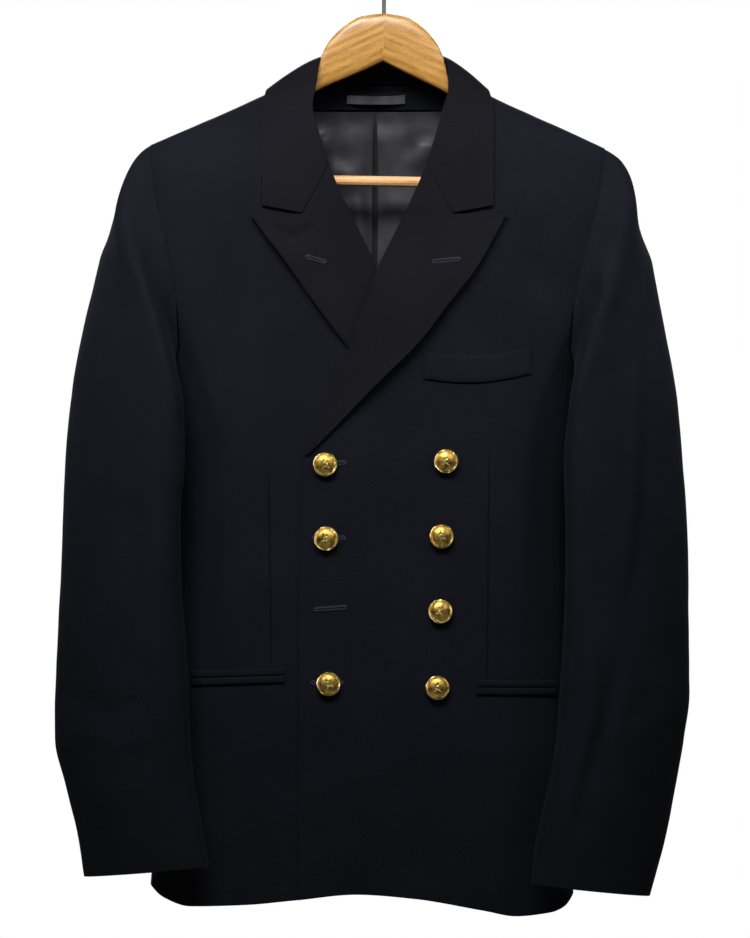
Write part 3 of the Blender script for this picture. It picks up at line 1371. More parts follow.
def weigh(tree, parts, start=0.0):
    """A sum of patterns, each with its own weight."""
    for value, weight in parts:
        start = calculate(tree, "MULTIPLY_ADD", value, weight, start)
    return start


def noise_of(tree, vector, size, detail=3.0, roughness=0.55):
    """A cloudy pattern whose patches are about this many metres across."""
    return add_node(
        tree, "ShaderNodeTexNoise",
        {"Vector": vector, "Scale": 1.0 / size, "Detail": detail, "Roughness": roughness},
    ).outputs["Fac"]


def napped_wool(name, shade, light_shade, dart=None):
    """Melton: wool twill, fulled, napped and pressed. Its fibre ends scatter the light, so it is matt,
    very dark, and paler only where it turns away; the twill under the nap hardly shows."""
    material, tree, shader, place = start_material(
        name, Roughness=WOOL_ROUGHNESS, IOR=1.54, Sheen_Weight=WOOL_SHEEN, Sheen_Roughness=0.42,
        Sheen_Tint=WOOL_SHEEN_TINT, Specular_IOR_Level=WOOL_GLOSS,
    )
    weave = add_node(tree, "ShaderNodeAttribute", attribute_name="weave").outputs["Vector"]
    mottle = noise_of(tree, place, MOTTLE_SIZE, 4.0)
    nap = noise_of(tree, place, NAP_SIZE, 2.0, 0.7)
    fuzz = noise_of(tree, place, FUZZ_SIZE, 3.0, 0.6)
    twill = add_node(
        tree, "ShaderNodeTexWave",
        {"Vector": weave, "Scale": WAVE_TURN / TWILL_PITCH, "Distortion": 1.4, "Detail": 2.0,
         "Detail Scale": 3.0},
        bands_direction="DIAGONAL",
    ).outputs["Fac"]
    patches = spread(tree, mottle, 0.34, 0.70)
    specks = spread(tree, nap, 0.58, 0.80)
    factor = weigh(tree, zip((patches, specks, twill), WOOL_TONES), WOOL_TONE_START)
    colour = two_tone(tree, factor, shade, light_shade)
    height = weigh(tree, zip((twill, nap, fuzz), WOOL_RELIEF))
    if dart:
        groove = dart_groove(tree, place, dart)
        height = weigh(tree, [(groove, -DART_DEEP)], height)
        colour = two_tone(tree, calculate(tree, "MULTIPLY", groove, DART_SHADE), colour, SEAM_SHADE)
    roughness = spread(tree, fuzz, 0.3, 0.7, WOOL_ROUGHNESS - 0.06, WOOL_ROUGHNESS + 0.04)
    finish_surface(tree, shader, colour, roughness, height, NAP_DEPTH)
    return material


def dart_groove(tree, place, dart):
    """1 on the line of a front's dart and 0 beside it, fading out at its upper end."""
    spot = add_node(tree, "ShaderNodeSeparateXYZ", {"Vector": place})
    lean = (dart.foot_x - dart.top_x) / (dart.foot_z - dart.top_z)
    line = calculate(tree, "MULTIPLY_ADD", spot.outputs["Z"], lean, dart.top_x - lean * dart.top_z)
    gap = calculate(tree, "ABSOLUTE", calculate(tree, "SUBTRACT", spot.outputs["X"], line))
    near = spread(tree, gap, 0.0, DART_HALF, 1.0, 0.0)
    below = spread(tree, spot.outputs["Z"], dart.top_z - DART_RISE, dart.top_z, 1.0, 0.0)
    above = spread(tree, spot.outputs["Z"], dart.foot_z - DART_FALL, dart.foot_z, 0.0, 1.0)
    front = spread(tree, spot.outputs["Y"], *DART_FRONT, 1.0, 0.0)
    return calculate(tree, "MULTIPLY", calculate(tree, "MULTIPLY", near, front),
                     calculate(tree, "MULTIPLY", below, above))


def satin(name, shade, light_shade, rough, rib=None):
    """Satin: filament yarns floated on the face and calendered. They catch the light in long streaks."""
    material, tree, shader, place = start_material(
        name, IOR=1.52, Sheen_Weight=0.06, Sheen_Roughness=0.3, Specular_IOR_Level=0.45,
    )
    weave = add_node(tree, "ShaderNodeAttribute", attribute_name="weave").outputs["Vector"]
    cloud = noise_of(tree, place, SATIN_CLOUD, 3.0)
    yarn = noise_of(tree, place, SATIN_YARN, 2.0)
    colour = two_tone(tree, spread(tree, cloud, 0.25, 0.80), shade, light_shade)
    roughness = spread(tree, cloud, 0.3, 0.7, rough - 0.03, rough + 0.05)
    height = yarn
    if rib:
        ribs = add_node(
            tree, "ShaderNodeTexWave", {"Vector": weave, "Scale": WAVE_TURN / rib}, bands_direction="X",
        ).outputs["Fac"]
        height = weigh(tree, [(ribs, 1.0)], yarn)
    finish_surface(tree, shader, colour, roughness, height, SATIN_DEPTH)
    return material


def silk_twist(name, shade, light_shade):
    """Buttonhole silk: two twisted filament yarns, so each stitch has a soft gloss along it."""
    material, tree, shader, place = start_material(name, IOR=1.53, Sheen_Weight=0.05, Specular_IOR_Level=0.25)
    ply = noise_of(tree, place, THREAD_PLY, 2.0)
    colour = two_tone(tree, spread(tree, ply, 0.35, 0.65), shade, light_shade)
    finish_surface(tree, shader, colour, spread(tree, ply, 0.3, 0.7, 0.5, 0.65), ply, PLY_DEPTH)
    return material


def gilt_brass(name, shade, light_shade, rough, tarnish):
    """Brass, die-stamped, gilt and lacquered: warm sharp highlights, duller where no polish reaches."""
    material, tree, shader, place = start_material(name, Metallic=1.0, Coat_Weight=0.25, Coat_Roughness=0.12)
    cloud = noise_of(tree, place, BRASS_CLOUD, 4.0)
    grain = noise_of(tree, place, BRASS_GRAIN, 2.0)
    worn = spread(tree, cloud, 0.5 - tarnish, 0.78)
    colour = two_tone(tree, worn, light_shade, shade)
    roughness = spread(tree, grain, 0.3, 0.7, rough, rough + 0.10)
    finish_surface(tree, shader, colour, roughness, grain, BRASS_DEPTH)
    return material


def lacquered_wood(name, turn, light_shade, shade):
    """Pale hardwood, sanded and clear-lacquered: darker growth lines along it under a thin gloss."""
    material, tree, shader, place = start_material(name, IOR=1.5, Coat_Weight=0.12, Coat_Roughness=0.20)
    turned = {"Vector": place, "Rotation": (0.0, turn, 0.0)}
    along = add_node(tree, "ShaderNodeMapping", turned).outputs["Vector"]
    stretched = stretch(tree, along, (0.10, 1.0, 1.0))
    rings = add_node(
        tree, "ShaderNodeTexWave",
        {"Vector": stretched, "Scale": WAVE_TURN / GRAIN_PITCH, "Distortion": 5.5, "Detail": 3.0,
         "Detail Scale": 60.0, "Detail Roughness": 0.6},
        bands_direction="Z",
    ).outputs["Fac"]
    streaks = noise_of(tree, stretched, GRAIN_STREAK, 5.0, 0.65)
    fine = noise_of(tree, stretch(tree, along, (0.06, 1.0, 1.0)), PORE_SIZE, 3.0, 0.6)
    tone = weigh(tree, [(spread(tree, streaks, 0.35, 0.72), 0.55), (spread(tree, rings, 0.35, 1.0), 0.45)])
    colour = two_tone(tree, tone, light_shade, shade)
    colour = two_tone(tree, spread(tree, fine, 0.60, 0.76, 0.0, PORE_SHADE), colour, WOOD_PORE)
    finish_surface(tree, shader, colour, spread(tree, fine, 0.4, 0.8, *WOOD_ROUGHNESS), fine, PORE_DEPTH)
    return material


def drawn_steel(name):
    """Steel wire, drawn and bright nickel-plated: long fine lines along it and a cool even gloss."""
    material, tree, shader, place = start_material(name, Metallic=1.0)
    lines = stretch(tree, place, (1.0, 1.0, 0.08))
    scratch = noise_of(tree, lines, DRAWN_LINE, 3.0)
    colour = two_tone(tree, spread(tree, scratch, 0.3, 0.7), from_hex("b9bcc0"), from_hex("8f9296"))
    finish_surface(tree, shader, colour, spread(tree, scratch, 0.3, 0.7, 0.2, 0.34), scratch, DRAWN_DEPTH)
    return material


def shadow_cloth(name):
    """The raw dark edge inside a buttonhole's slit and a pocket's mouth: unlit wool."""
    material, tree, shader, place = start_material(name, Roughness=0.95, Specular_IOR_Level=0.1)
    fuzz = noise_of(tree, place, FUZZ_SIZE, 2.0)
    colour = two_tone(tree, fuzz, from_hex("020203"), from_hex("08080b"))
    finish_surface(tree, shader, colour, height=fuzz, depth=FUZZ_DEPTH)
    return material


def painted_floor(name):
    """A studio floor, rolled with flat white paint: even, with the faintest roller texture."""
    material, tree, shader, place = start_material(name, Roughness=0.9, Specular_IOR_Level=0.2)
    roller = noise_of(tree, place, ROLLER_SIZE, 2.0)
    colour = two_tone(tree, roller, from_hex("f4f4f2"), from_hex("fbfbfa"))
    finish_surface(tree, shader, colour, height=roller, depth=ROLLER_DEPTH)
    return material


def colour_property(name, description, code):
    return FloatVectorProperty(
        name=name, description=description, subtype="COLOR", size=4, min=0.0, max=1.0,
        default=from_hex(code),
    )


def length_property(name, description, default, low, high):
    return FloatProperty(
        name=name, description=description, default=default, min=low, max=high,
        unit="LENGTH", subtype="DISTANCE", precision=5,
    )


class ClothSettings(PropertyGroup):
    """Colours and thicknesses of the cloth, the lining and the thread."""

    wool: colour_property("Wool", "The deepest shade of the melton", "090a11")
    wool_light: colour_property("Wool, light", "The lighter mottle of the melton", "14151c")
    facing: colour_property("Facing", "The deepest shade of collar and lapels", "0a0a0f")
    facing_light: colour_property("Facing, light", "The lighter mottle of collar and lapels", "131318")
    lining: colour_property("Lining", "The satin lining's shade", "1f1e22")
    lining_light: colour_property("Lining, light", "The satin lining's lighter streaks", "2f2f34")
    ribbon: colour_property("Ribbon", "The hanging loop's shade", "303034")
    ribbon_light: colour_property("Ribbon, light", "The hanging loop's lighter ribs", "57575c")
    silk: colour_property("Silk", "The buttonhole silk's shade", "17171e")
    silk_light: colour_property("Silk, light", "The buttonhole silk's lighter ply", "31313b")
    thickness: length_property("Cloth", "Thickness of one layer of wool", CLOTH, 0.001, 0.003)
    turned: length_property("Turned edge", "Thickness of wool turned at an edge", DOUBLE_CLOTH, 0.001, 0.003)
    edge_round: length_property("Edge rounding", "Roundness of a turned edge", EDGE_ROUND, 0.0, 0.002)


class ButtonSettings(PropertyGroup):
    """Size and colours of the metal buttons."""

    radius: length_property("Radius", "Half the button's width", BUTTON_RADIUS, 0.006, 0.016)
    dome: length_property("Dome", "Height of the dome above its rim", BUTTON_DOME, 0.001, 0.010)
    polished: colour_property("Polished gilt", "Raised and polished parts", "fff0b0")
    polished_dark: colour_property("Polished gilt, worn", "Worn spots of the raised parts", "dcb860")
    ground: colour_property("Ground", "The dulled ground between the raised parts", "cfa54c")
    ground_dark: colour_property("Ground, dark", "Where the ground is darkest", "5e4210")


class HangerSettings(PropertyGroup):
    """Colours of the hanger's wood."""

    wood: colour_property("Wood", "The lighter early wood", "b98a43")
    wood_dark: colour_property("Wood, dark", "The darker growth lines", "82551c")
    bar: colour_property("Bar", "The bar's lighter early wood", "d9ac7a")
    bar_dark: colour_property("Bar, dark", "The bar's darker growth lines", "b77c41")


class StageSettings(PropertyGroup):
    """Camera and light."""

    distance: length_property("Camera distance", "From the camera to the jacket", CAMERA_DISTANCE, 1.0, 20.0)
    lens: FloatProperty(
        name="Lens", description="Focal length that frames the jacket", default=CAMERA_LENS, min=20.0,
        max=400.0, subtype="DISTANCE_CAMERA",
    )
    key_power: FloatProperty(
        name="Key light", description="Strength of the large soft light", default=KEY_POWER, min=0.0,
        unit="POWER",
    )
    sky: FloatProperty(
        name="Room light", description="Strength of the white room's own light", default=ROOM_LIGHT,
        min=0.0, max=10.0,
    )


class JACKET_OT_stage(Operator):
    """Adds the white floor and backdrop, the soft lights and the camera"""

    bl_idname = "jacket.stage"
    bl_label = "Stage"

    def execute(self, context):
        settings = context.scene.jacket_stage
        self.add_floor()
        self.light_room(context, settings)
        for row in LAMPS:
            self.add_lamp(context, row, settings.key_power)
        data = bpy.data.cameras.new("camera")
        data.lens = settings.lens
        data.sensor_width = 36.0
        data.clip_end = 50.0
        camera = bpy.data.objects.new("camera", data)
        context.scene.collection.objects.link(camera)
        camera.location = (CAMERA_X, -settings.distance, CAMERA_HEIGHT)
        camera.rotation_euler = (pi / 2, 0.0, 0.0)
        context.scene.camera = camera
        context.scene.view_settings.view_transform = "Standard"
        return {"FINISHED"}

    @staticmethod
    def add_floor():
        mesh = bmesh.new()
        place = Matrix.Translation((0.0, 0.0, FLOOR_HEIGHT))
        bmesh.ops.create_grid(mesh, x_segments=1, y_segments=1, size=FLOOR_SIZE / 2, matrix=place)
        floor = mesh_piece("floor", mesh)
        floor.data.materials.append(painted_floor("flat white paint, rolled"))
        return floor

    @staticmethod
    def light_room(context, settings):
        """The backdrop shows white, while the dim room's own light leaves the cloth its shadows."""
        world = bpy.data.worlds.new("studio")
        context.scene.world = world
        world.use_nodes = True
        tree = world.node_tree
        room = tree.nodes["Background"]
        room.inputs["Strength"].default_value = settings.sky
        backdrop = add_node(tree, "ShaderNodeBackground", {"Strength": BACKDROP_LIGHT})
        for shader in (room, backdrop):
            shader.inputs["Color"].default_value = (1.0, 1.0, 1.0, 1.0)
        seen = add_node(tree, "ShaderNodeLightPath").outputs["Is Camera Ray"]
        both = add_node(tree, "ShaderNodeMixShader", {"Fac": seen})
        tree.links.new(room.outputs[0], both.inputs[1])
        tree.links.new(backdrop.outputs[0], both.inputs[2])
        tree.links.new(both.outputs[0], tree.nodes["World Output"].inputs["Surface"])

    @staticmethod
    def add_lamp(context, row, power):
        data = bpy.data.lights.new(row.name, "AREA")
        data.shape = "RECTANGLE"
        data.size, data.size_y = row.width, row.height
        data.energy = power * row.share
        data.spread = radians(row.spread)
        lamp = bpy.data.objects.new(row.name, data)
        context.scene.collection.objects.link(lamp)
        lamp.location = row.place
        aim = Vector(row.aim) - Vector(row.place)
        lamp.rotation_euler = aim.to_track_quat("-Z", "Y").to_euler()


class JACKET_OT_body(Operator):
    """Makes the fronts, the side bodies and the backs"""

    bl_idname = "jacket.body"
    bl_label = "Body panels"

    def execute(self, context):
        settings = context.scene.jacket_cloth
        thick, edge = settings.thickness, settings.edge_round
        plain = napped_wool("wool melton, napped", settings.wool, settings.wool_light)
        for side, side_name in SIDE_NAME.items():
            with_dart = napped_wool(
                f"wool melton, napped, darted {side_name}", settings.wool, settings.wool_light, DARTS[side],
            )
            cut_cloth("front_" + side_name, front_grid(side, *FRONT_GRID), -thick, 0.0, "wool", with_dart,
                      ["hanger_arm_" + side_name], edge=edge)
            cut_cloth("back_" + side_name, back_grid(side, *BACK_GRID), -thick, 0.0, "wool", plain,
                      ["hanger_arm_" + side_name], edge=edge)
            cut_cloth("side_" + side_name, side_grid(side, *SIDE_GRID), -thick, 0.0, "wool", plain,
                      ["front_" + side_name, "back_" + side_name], edge=edge)
        return {"FINISHED"}


class JACKET_OT_sleeves(Operator):
    """Makes the two pieces of each sleeve"""

    bl_idname = "jacket.sleeves"
    bl_label = "Sleeves"

    def execute(self, context):
        settings = context.scene.jacket_cloth
        half = settings.thickness / 2
        wool = bpy.data.materials["wool melton, napped"]
        spans = (
            ("sleeve_top_", SLEEVE_FRONT_SEAM, SLEEVE_BACK_SEAM, SLEEVE_TOP_COLUMNS),
            ("sleeve_under_", SLEEVE_BACK_SEAM, SLEEVE_FRONT_SEAM + 2 * pi, SLEEVE_UNDER_COLUMNS),
        )
        for side, side_name in SIDE_NAME.items():
            sleeve = Sleeve(side)
            for name, start, end, columns in spans:
                grid = sleeve_grid(sleeve, start, end, columns, *SLEEVE_ROWS)
                cut_cloth(name + side_name, grid, -half, half, "wool", wool,
                          ["front_" + side_name, "back_" + side_name], edge=settings.edge_round)
        return {"FINISHED"}


class JACKET_OT_collar(Operator):
    """Makes the collar's stand and its fall"""

    bl_idname = "jacket.collar"
    bl_label = "Collar"

    def execute(self, context):
        settings = context.scene.jacket_cloth
        wool = napped_wool("wool melton, pressed", settings.facing, settings.facing_light)
        reach = 1.0 - STAND_START - STAND_SHORT
        backs = ["back_left", "back_right"]
        for name, place, end, (columns, rows), thick, rests_on in (
            ("collar_fall", collar_place, 1.0, FALL_GRID, settings.turned, ["collar_stand"]),
            ("collar_stand", stand_place, reach, STAND_GRID, settings.thickness, backs),
        ):
            plain = surface_grid(place, even(columns, -end, end), even(rows))
            grid = [[(point + normal * unevenness(point) * COLLAR_SOFTNESS, normal) for point, normal in line]
                    for line in plain]
            cut_cloth(name, grid, -thick / 2, thick / 2, "wool_facing", wool, rests_on,
                      edge=settings.edge_round)
        return {"FINISHED"}


class JACKET_OT_lapels(Operator):
    """Makes the turned-back lapels"""

    bl_idname = "jacket.lapels"
    bl_label = "Lapels"

    def execute(self, context):
        settings = context.scene.jacket_cloth
        wool = bpy.data.materials["wool melton, pressed"]
        columns, rows = LAPEL_GRID
        for side, side_name in SIDE_NAME.items():
            grid = [[lapel_place(side, across, up) for up in even(rows)] for across in even(columns)]

            def crease_rise(i, j, cloth=grid):
                return creases("lapel", *cloth[i][j])

            cut_cloth("lapel_" + side_name, grid, 0.0, settings.turned, "wool_facing", wool,
                      ["front_" + side_name], rise=crease_rise, edge=settings.edge_round)
        return {"FINISHED"}


class JACKET_OT_inside(Operator):
    """Makes the back lining with its pleat, the neck facing and the hanging loop"""

    bl_idname = "jacket.inside"
    bl_label = "Inside of the neck"

    def execute(self, context):
        settings = context.scene.jacket_cloth
        sateen = satin("viscose satin, calendered", settings.lining, settings.lining_light, LINING_ROUGHNESS)
        ribbon = satin("satin ribbon, woven", settings.ribbon, settings.ribbon_light, RIBBON_ROUGHNESS,
                       RIBBON_RIB)
        wool = bpy.data.materials["wool melton, napped"]
        face = -CLOTH - GAP - LINING_STEP
        lining = inside_grid(LINING_TOP, LINING_FOOT, LINING_HALF, LINING_ROWS, lining_steps(), True)
        cut_cloth("back_lining", lining, face - LINING, face, "lining", sateen,
                  ["back_left", "back_right"], edge=THIN_EDGE)
        facing_foot = LINING_TOP + LINING_TOP_SAG + GAP
        steps = even(FACING_COLUMNS, -1.0, 1.0)
        facing = inside_grid(FACING_TOP, facing_foot, FACING_HALF, FACING_ROWS, steps, False)
        cut_cloth("neck_facing", facing, face - LINING, face, "wool", wool,
                  ["back_left", "back_right"], edge=THIN_EDGE)
        self.add_loop(ribbon)
        return {"FINISHED"}

    @staticmethod
    def add_loop(ribbon):
        grid = []
        columns, rows = LOOP_GRID
        for across in even(columns):
            line = []
            for z in even(rows, *LOOP_Z[::-1]):
                point, normal = soften("body", body_point(mix(*LOOP_X, across), z, BACK))
                line.append((point - normal * LOOP_BOW * sin(pi * across), normal))
            grid.append(line)
        face = -CLOTH - LINING - LINING_STEP - 3 * GAP
        lay_cloth("hanging_loop", grid, face - LOOP_THICK, face, "loop", ribbon, edge=LOOP_EDGE)


class JACKET_OT_pockets(Operator):
    """Makes the breast welt and the jets of both hip pockets"""

    bl_idname = "jacket.pockets"
    bl_label = "Pockets"

    def execute(self, context):
        wool = bpy.data.materials["wool melton, napped"]
        dark = shadow_cloth("wool, raw and unlit")
        ends = (WELT_LEFT_X, WELT_RIGHT_X)
        welt = strip_grid(LEFT, ends, WELT_ENDS, WELT_HEIGHT, WELT_SAG, LAID_GAP, *WELT_GRID)
        cut_cloth("breast_welt", welt, 0.0, CLOTH - STRIP_SWELL, "wool", wool, ["front_left"],
                  rise=self.swell(welt), edge=STRIP_EDGE)
        for pocket in POCKETS:
            side = LEFT if pocket.side == "left" else RIGHT
            ends = (pocket.inner_x, pocket.outer_x)
            slit = (pocket.inner_z, pocket.outer_z)
            upper = tuple(z + JET_HEIGHT + POCKET_SLIT / 2 for z in slit)
            lower = tuple(z - POCKET_SLIT / 2 for z in slit)
            for name, top in (("upper", upper), ("lower", lower)):
                grid = strip_grid(side, ends, top, JET_HEIGHT, 0.0, LAID_GAP, *JET_GRID)
                lay_cloth(f"jet_{pocket.side}_{name}", grid, 0.0, CLOTH - STRIP_SWELL, "wool", wool,
                          rise=self.swell(grid), edge=STRIP_EDGE)
            between = tuple(z + POCKET_SLIT for z in slit)
            mouth = strip_grid(side, ends, between, 2 * POCKET_SLIT, 0.0, LAID_GAP / 2, *MOUTH_GRID)
            piece = cloth_shell(f"pocket_mouth_{pocket.side}", mouth, 0.0, MOUTH_THICK)
            place_piece(piece, [], "wool", dark)
        return {"FINISHED"}

    @staticmethod
    def swell(grid):
        """How far a strip's face swells between its stitched edges."""
        columns, rows = len(grid) - 1, len(grid[0]) - 1

        def rise(i, j):
            ends, sides = min(i, columns - i), min(j, rows - j)
            edge = min(ends / SWELL_ENDS, sides / SWELL_SIDES, 1.0)
            return STRIP_SWELL * ease(edge)

        return rise


class JACKET_OT_buttonholes(Operator):
    """Works the buttonholes in silk over a cord"""

    bl_idname = "jacket.buttonholes"
    bl_label = "Buttonholes"

    def execute(self, context):
        settings = context.scene.jacket_cloth
        silk = silk_twist("buttonhole silk, twisted", settings.silk, settings.silk_light)
        dark = bpy.data.materials["wool, raw and unlit"]
        for hole in HOLES:
            mesh = bmesh.new()
            self.work_hole(mesh, hole)
            piece = mesh_piece(hole.name, mesh)
            place_piece(piece, [], "wool", silk, dark)
        return {"FINISHED"}

    @staticmethod
    def spot(hole, along, over, out):
        """A point above the cloth, at a distance along the slit and across it."""
        turn = radians(hole.slant)
        x = hole.x + along * cos(turn) - over * sin(turn)
        z = hole.z + along * sin(turn) + over * cos(turn)
        if hole.layer == "front":
            return front_cloth(LEFT, x, z, out)
        return on_lapel(LEFT if hole.x > 0 else RIGHT, x, z, out)

    @classmethod
    def work_hole(cls, mesh, hole):
        half = hole.length / 2 - HOLE_HALF
        ring = []
        straight_steps = round(2 * half / STITCH_STEP)
        for side in (1, -1):
            for i in range(straight_steps):
                along = mix(-half, half, i / straight_steps)
                ring.append((side * along, side * -HOLE_HALF, 0.0, side * -1.0))
            for angle in even(HOLE_TURN_STEPS, -pi / 2, pi / 2)[:-1]:
                way = (side * cos(angle), side * sin(angle))
                ring.append((side * half + HOLE_HALF * way[0], HOLE_HALF * way[1], *way))
        cord = [cls.spot(hole, row[0], row[1], HOLE_CORD * HOLE_CORD_LIFT)[0] for row in ring]
        add_tube(mesh, cord, HOLE_CORD, 8, closed=True)
        for i, (along, over, way_x, way_z) in enumerate(ring):
            spot = Vector((i * STITCH_ROUGH, hole.z * STITCH_ROW, 0.0))
            reach = STITCH_REACH + STITCH_UNEVEN * noise.noise(spot)
            path = []
            for share, out in STITCH_ARC:
                step = mix(STITCH_INSIDE, reach, share)
                path.append(cls.spot(hole, along + way_x * step, over + way_z * step, out)[0])
            add_tube(mesh, path, STITCH_RADIUS)
        edge = [(row[0] * SLIT_LONG, row[1] * SLIT_WIDE) for row in ring]
        rim = [mesh.verts.new(cls.spot(hole, a, b, SLIT_TOP)[0]) for a, b in edge]
        foot = [mesh.verts.new(cls.spot(hole, a, b, SLIT_FOOT)[0]) for a, b in edge]
        for k, vertex in enumerate(rim):
            after = (k + 1) % len(rim)
            mesh.faces.new((vertex, rim[after], foot[after], foot[k])).material_index = 1
        mesh.faces.new(rim).material_index = 1
        mesh.faces.new(foot[::-1]).material_index = 1


class JACKET_OT_buttons(Operator):
    """Makes the domed buttons with a rope rim, a ring of beads and an eight-pointed star"""

    bl_idname = "jacket.buttons"
    bl_label = "Buttons"

    def execute(self, context):
        settings = context.scene.jacket_button
        polished = gilt_brass("brass, stamped, gilt and polished", settings.polished_dark, settings.polished,
                              *POLISHED_LOOK)
        ground = gilt_brass("brass, stamped and dulled", settings.ground_dark, settings.ground, *GROUND_LOOK)
        for k, place in enumerate(BUTTONS):
            mesh = bmesh.new()
            profile = self.outline(settings)
            self.turn_dome(mesh, profile)
            self.add_rope(mesh, settings.radius)
            self.add_beads(mesh, settings, profile)
            self.add_star(mesh, settings, profile)
            point, normal = front_cloth(LEFT, place.x, place.z, BUTTON_LIFT)
            turn = Vector((0.0, 0.0, 1.0)).rotation_difference(normal).to_matrix().to_4x4()
            spin = Matrix.Rotation(radians(BUTTON_SPIN[k]), 4, "Z")
            mesh.transform(Matrix.Translation(point) @ turn @ spin)
            piece = mesh_piece(place.name + "_metal", mesh)
            place_piece(piece, [place.name], "button", polished, ground)
        return {"FINISHED"}

    @staticmethod
    def outline(settings):
        """Radius and height of the turned outline, as a smooth curve over the dome."""
        rim = BUTTON_SHANK + BUTTON_RIM
        radius = settings.radius
        edge = [
            (BUTTON_SHANK_RADIUS, 0.0), (BUTTON_SHANK_RADIUS, BUTTON_SHANK),
            (radius - BUTTON_BEVEL, BUTTON_SHANK), (radius, BUTTON_SHANK + BUTTON_RIM * 0.5),
            (radius - BUTTON_BEVEL, rim), (radius * DOME_SHARE, rim + RIM_STEP),
        ]
        dome = []
        for i in range(1, DOME_RINGS + 1):
            share = 1.0 - i / DOME_RINGS
            height = settings.dome * sqrt(max(1.0 - (share * DOME_FLATTEN) ** 2, 0.0)) ** DOME_POWER
            dome.append((radius * DOME_SHARE * share, rim + max(height - DOME_SINK, DOME_LEAST)))
        return edge + dome

    @staticmethod
    def height_at(profile, radius):
        for (r_high, z_low), (r_low, z_high) in zip(profile[RIM_POINT:], profile[RIM_POINT + 1:]):
            if r_low <= radius <= r_high:
                return mix(z_low, z_high, (r_high - radius) / (r_high - r_low))
        return profile[-1][1]

    @staticmethod
    def turn_dome(mesh, profile):
        rings = []
        for radius, height in profile[:-1]:
            rings.append([mesh.verts.new((radius * cos(t), radius * sin(t), height))
                          for t in turn_steps(BUTTON_TURN_SIDES)])
        foot = mesh.verts.new((0.0, 0.0, profile[0][1]))
        crown = mesh.verts.new((0.0, 0.0, profile[-1][1]))
        for k in range(BUTTON_TURN_SIDES):
            after = (k + 1) % BUTTON_TURN_SIDES
            mesh.faces.new((foot, rings[0][after], rings[0][k]))
            mesh.faces.new((crown, rings[-1][k], rings[-1][after])).material_index = 1
            for i, (low, high) in enumerate(zip(rings, rings[1:])):
                face = mesh.faces.new((low[k], low[after], high[after], high[k]))
                face.material_index = 1 if i >= RIM_POINT else 0

    @staticmethod
    def add_rope(mesh, radius):
        """Two strands that twist round each other along the rim."""
        for start in (0.0, pi):
            path = []
            for angle in turn_steps(ROPE_TWISTS * ROPE_STEPS):
                twist = start + ROPE_TWISTS / 2 * angle
                ring = radius - ROPE_INSET + ROPE_RADIUS * ROPE_SWING * cos(twist)
                height = BUTTON_SHANK + BUTTON_RIM + ROPE_RADIUS * (ROPE_LIFT + ROPE_SWING * sin(twist))
                path.append(Vector((ring * cos(angle), ring * sin(angle), height)))
            add_tube(mesh, path, ROPE_RADIUS * ROPE_STRAND, closed=True)

    @classmethod
    def add_beads(cls, mesh, settings, profile):
        ring = settings.radius * BEAD_RING_SHARE
        height = cls.height_at(profile, ring)
        for angle in turn_steps(BEADS):
            place = Matrix.Translation((ring * cos(angle), ring * sin(angle), height))
            bmesh.ops.create_icosphere(mesh, subdivisions=2, radius=BEAD_RADIUS, matrix=place)

    @classmethod
    def add_star(cls, mesh, settings, profile):
        """A faceted star of four long and four short points, raised on the dome."""
        size = settings.radius / BUTTON_RADIUS
        corners = []
        for k, angle in enumerate(turn_steps(STAR_CORNERS)):
            reach = STAR_WAIST if k % 2 else (STAR_LONG if k % 4 == 0 else STAR_SHORT)
            corners.append((reach * size, angle))

        def on_dome(reach, angle, lift):
            height = cls.height_at(profile, reach) + lift
            return mesh.verts.new((reach * cos(angle), reach * sin(angle), height))

        crown = on_dome(0.0, 0.0, STAR_HEIGHT)
        rings = []
        for share in STAR_RINGS:
            lift = STAR_HEIGHT * (1.0 - STAR_FALL * share)
            ring = []
            for k, (reach, angle) in enumerate(corners):
                ridge = lift if k % 2 == 0 else lift * STAR_VALLEY
                ring.append(on_dome(reach * share, angle, ridge))
            rings.append(ring)
        rings.append([on_dome(reach * STAR_FOOT, angle, STAR_SKIRT) for reach, angle in corners])
        base = on_dome(0.0, 0.0, STAR_BASE)
        for k in range(STAR_CORNERS):
            after = (k + 1) % STAR_CORNERS
            mesh.faces.new((crown, rings[0][k], rings[0][after]))
            for low, high in zip(rings, rings[1:]):
                mesh.faces.new((low[k], high[k], high[after], low[after]))
            mesh.faces.new((base, rings[-1][after], rings[-1][k]))


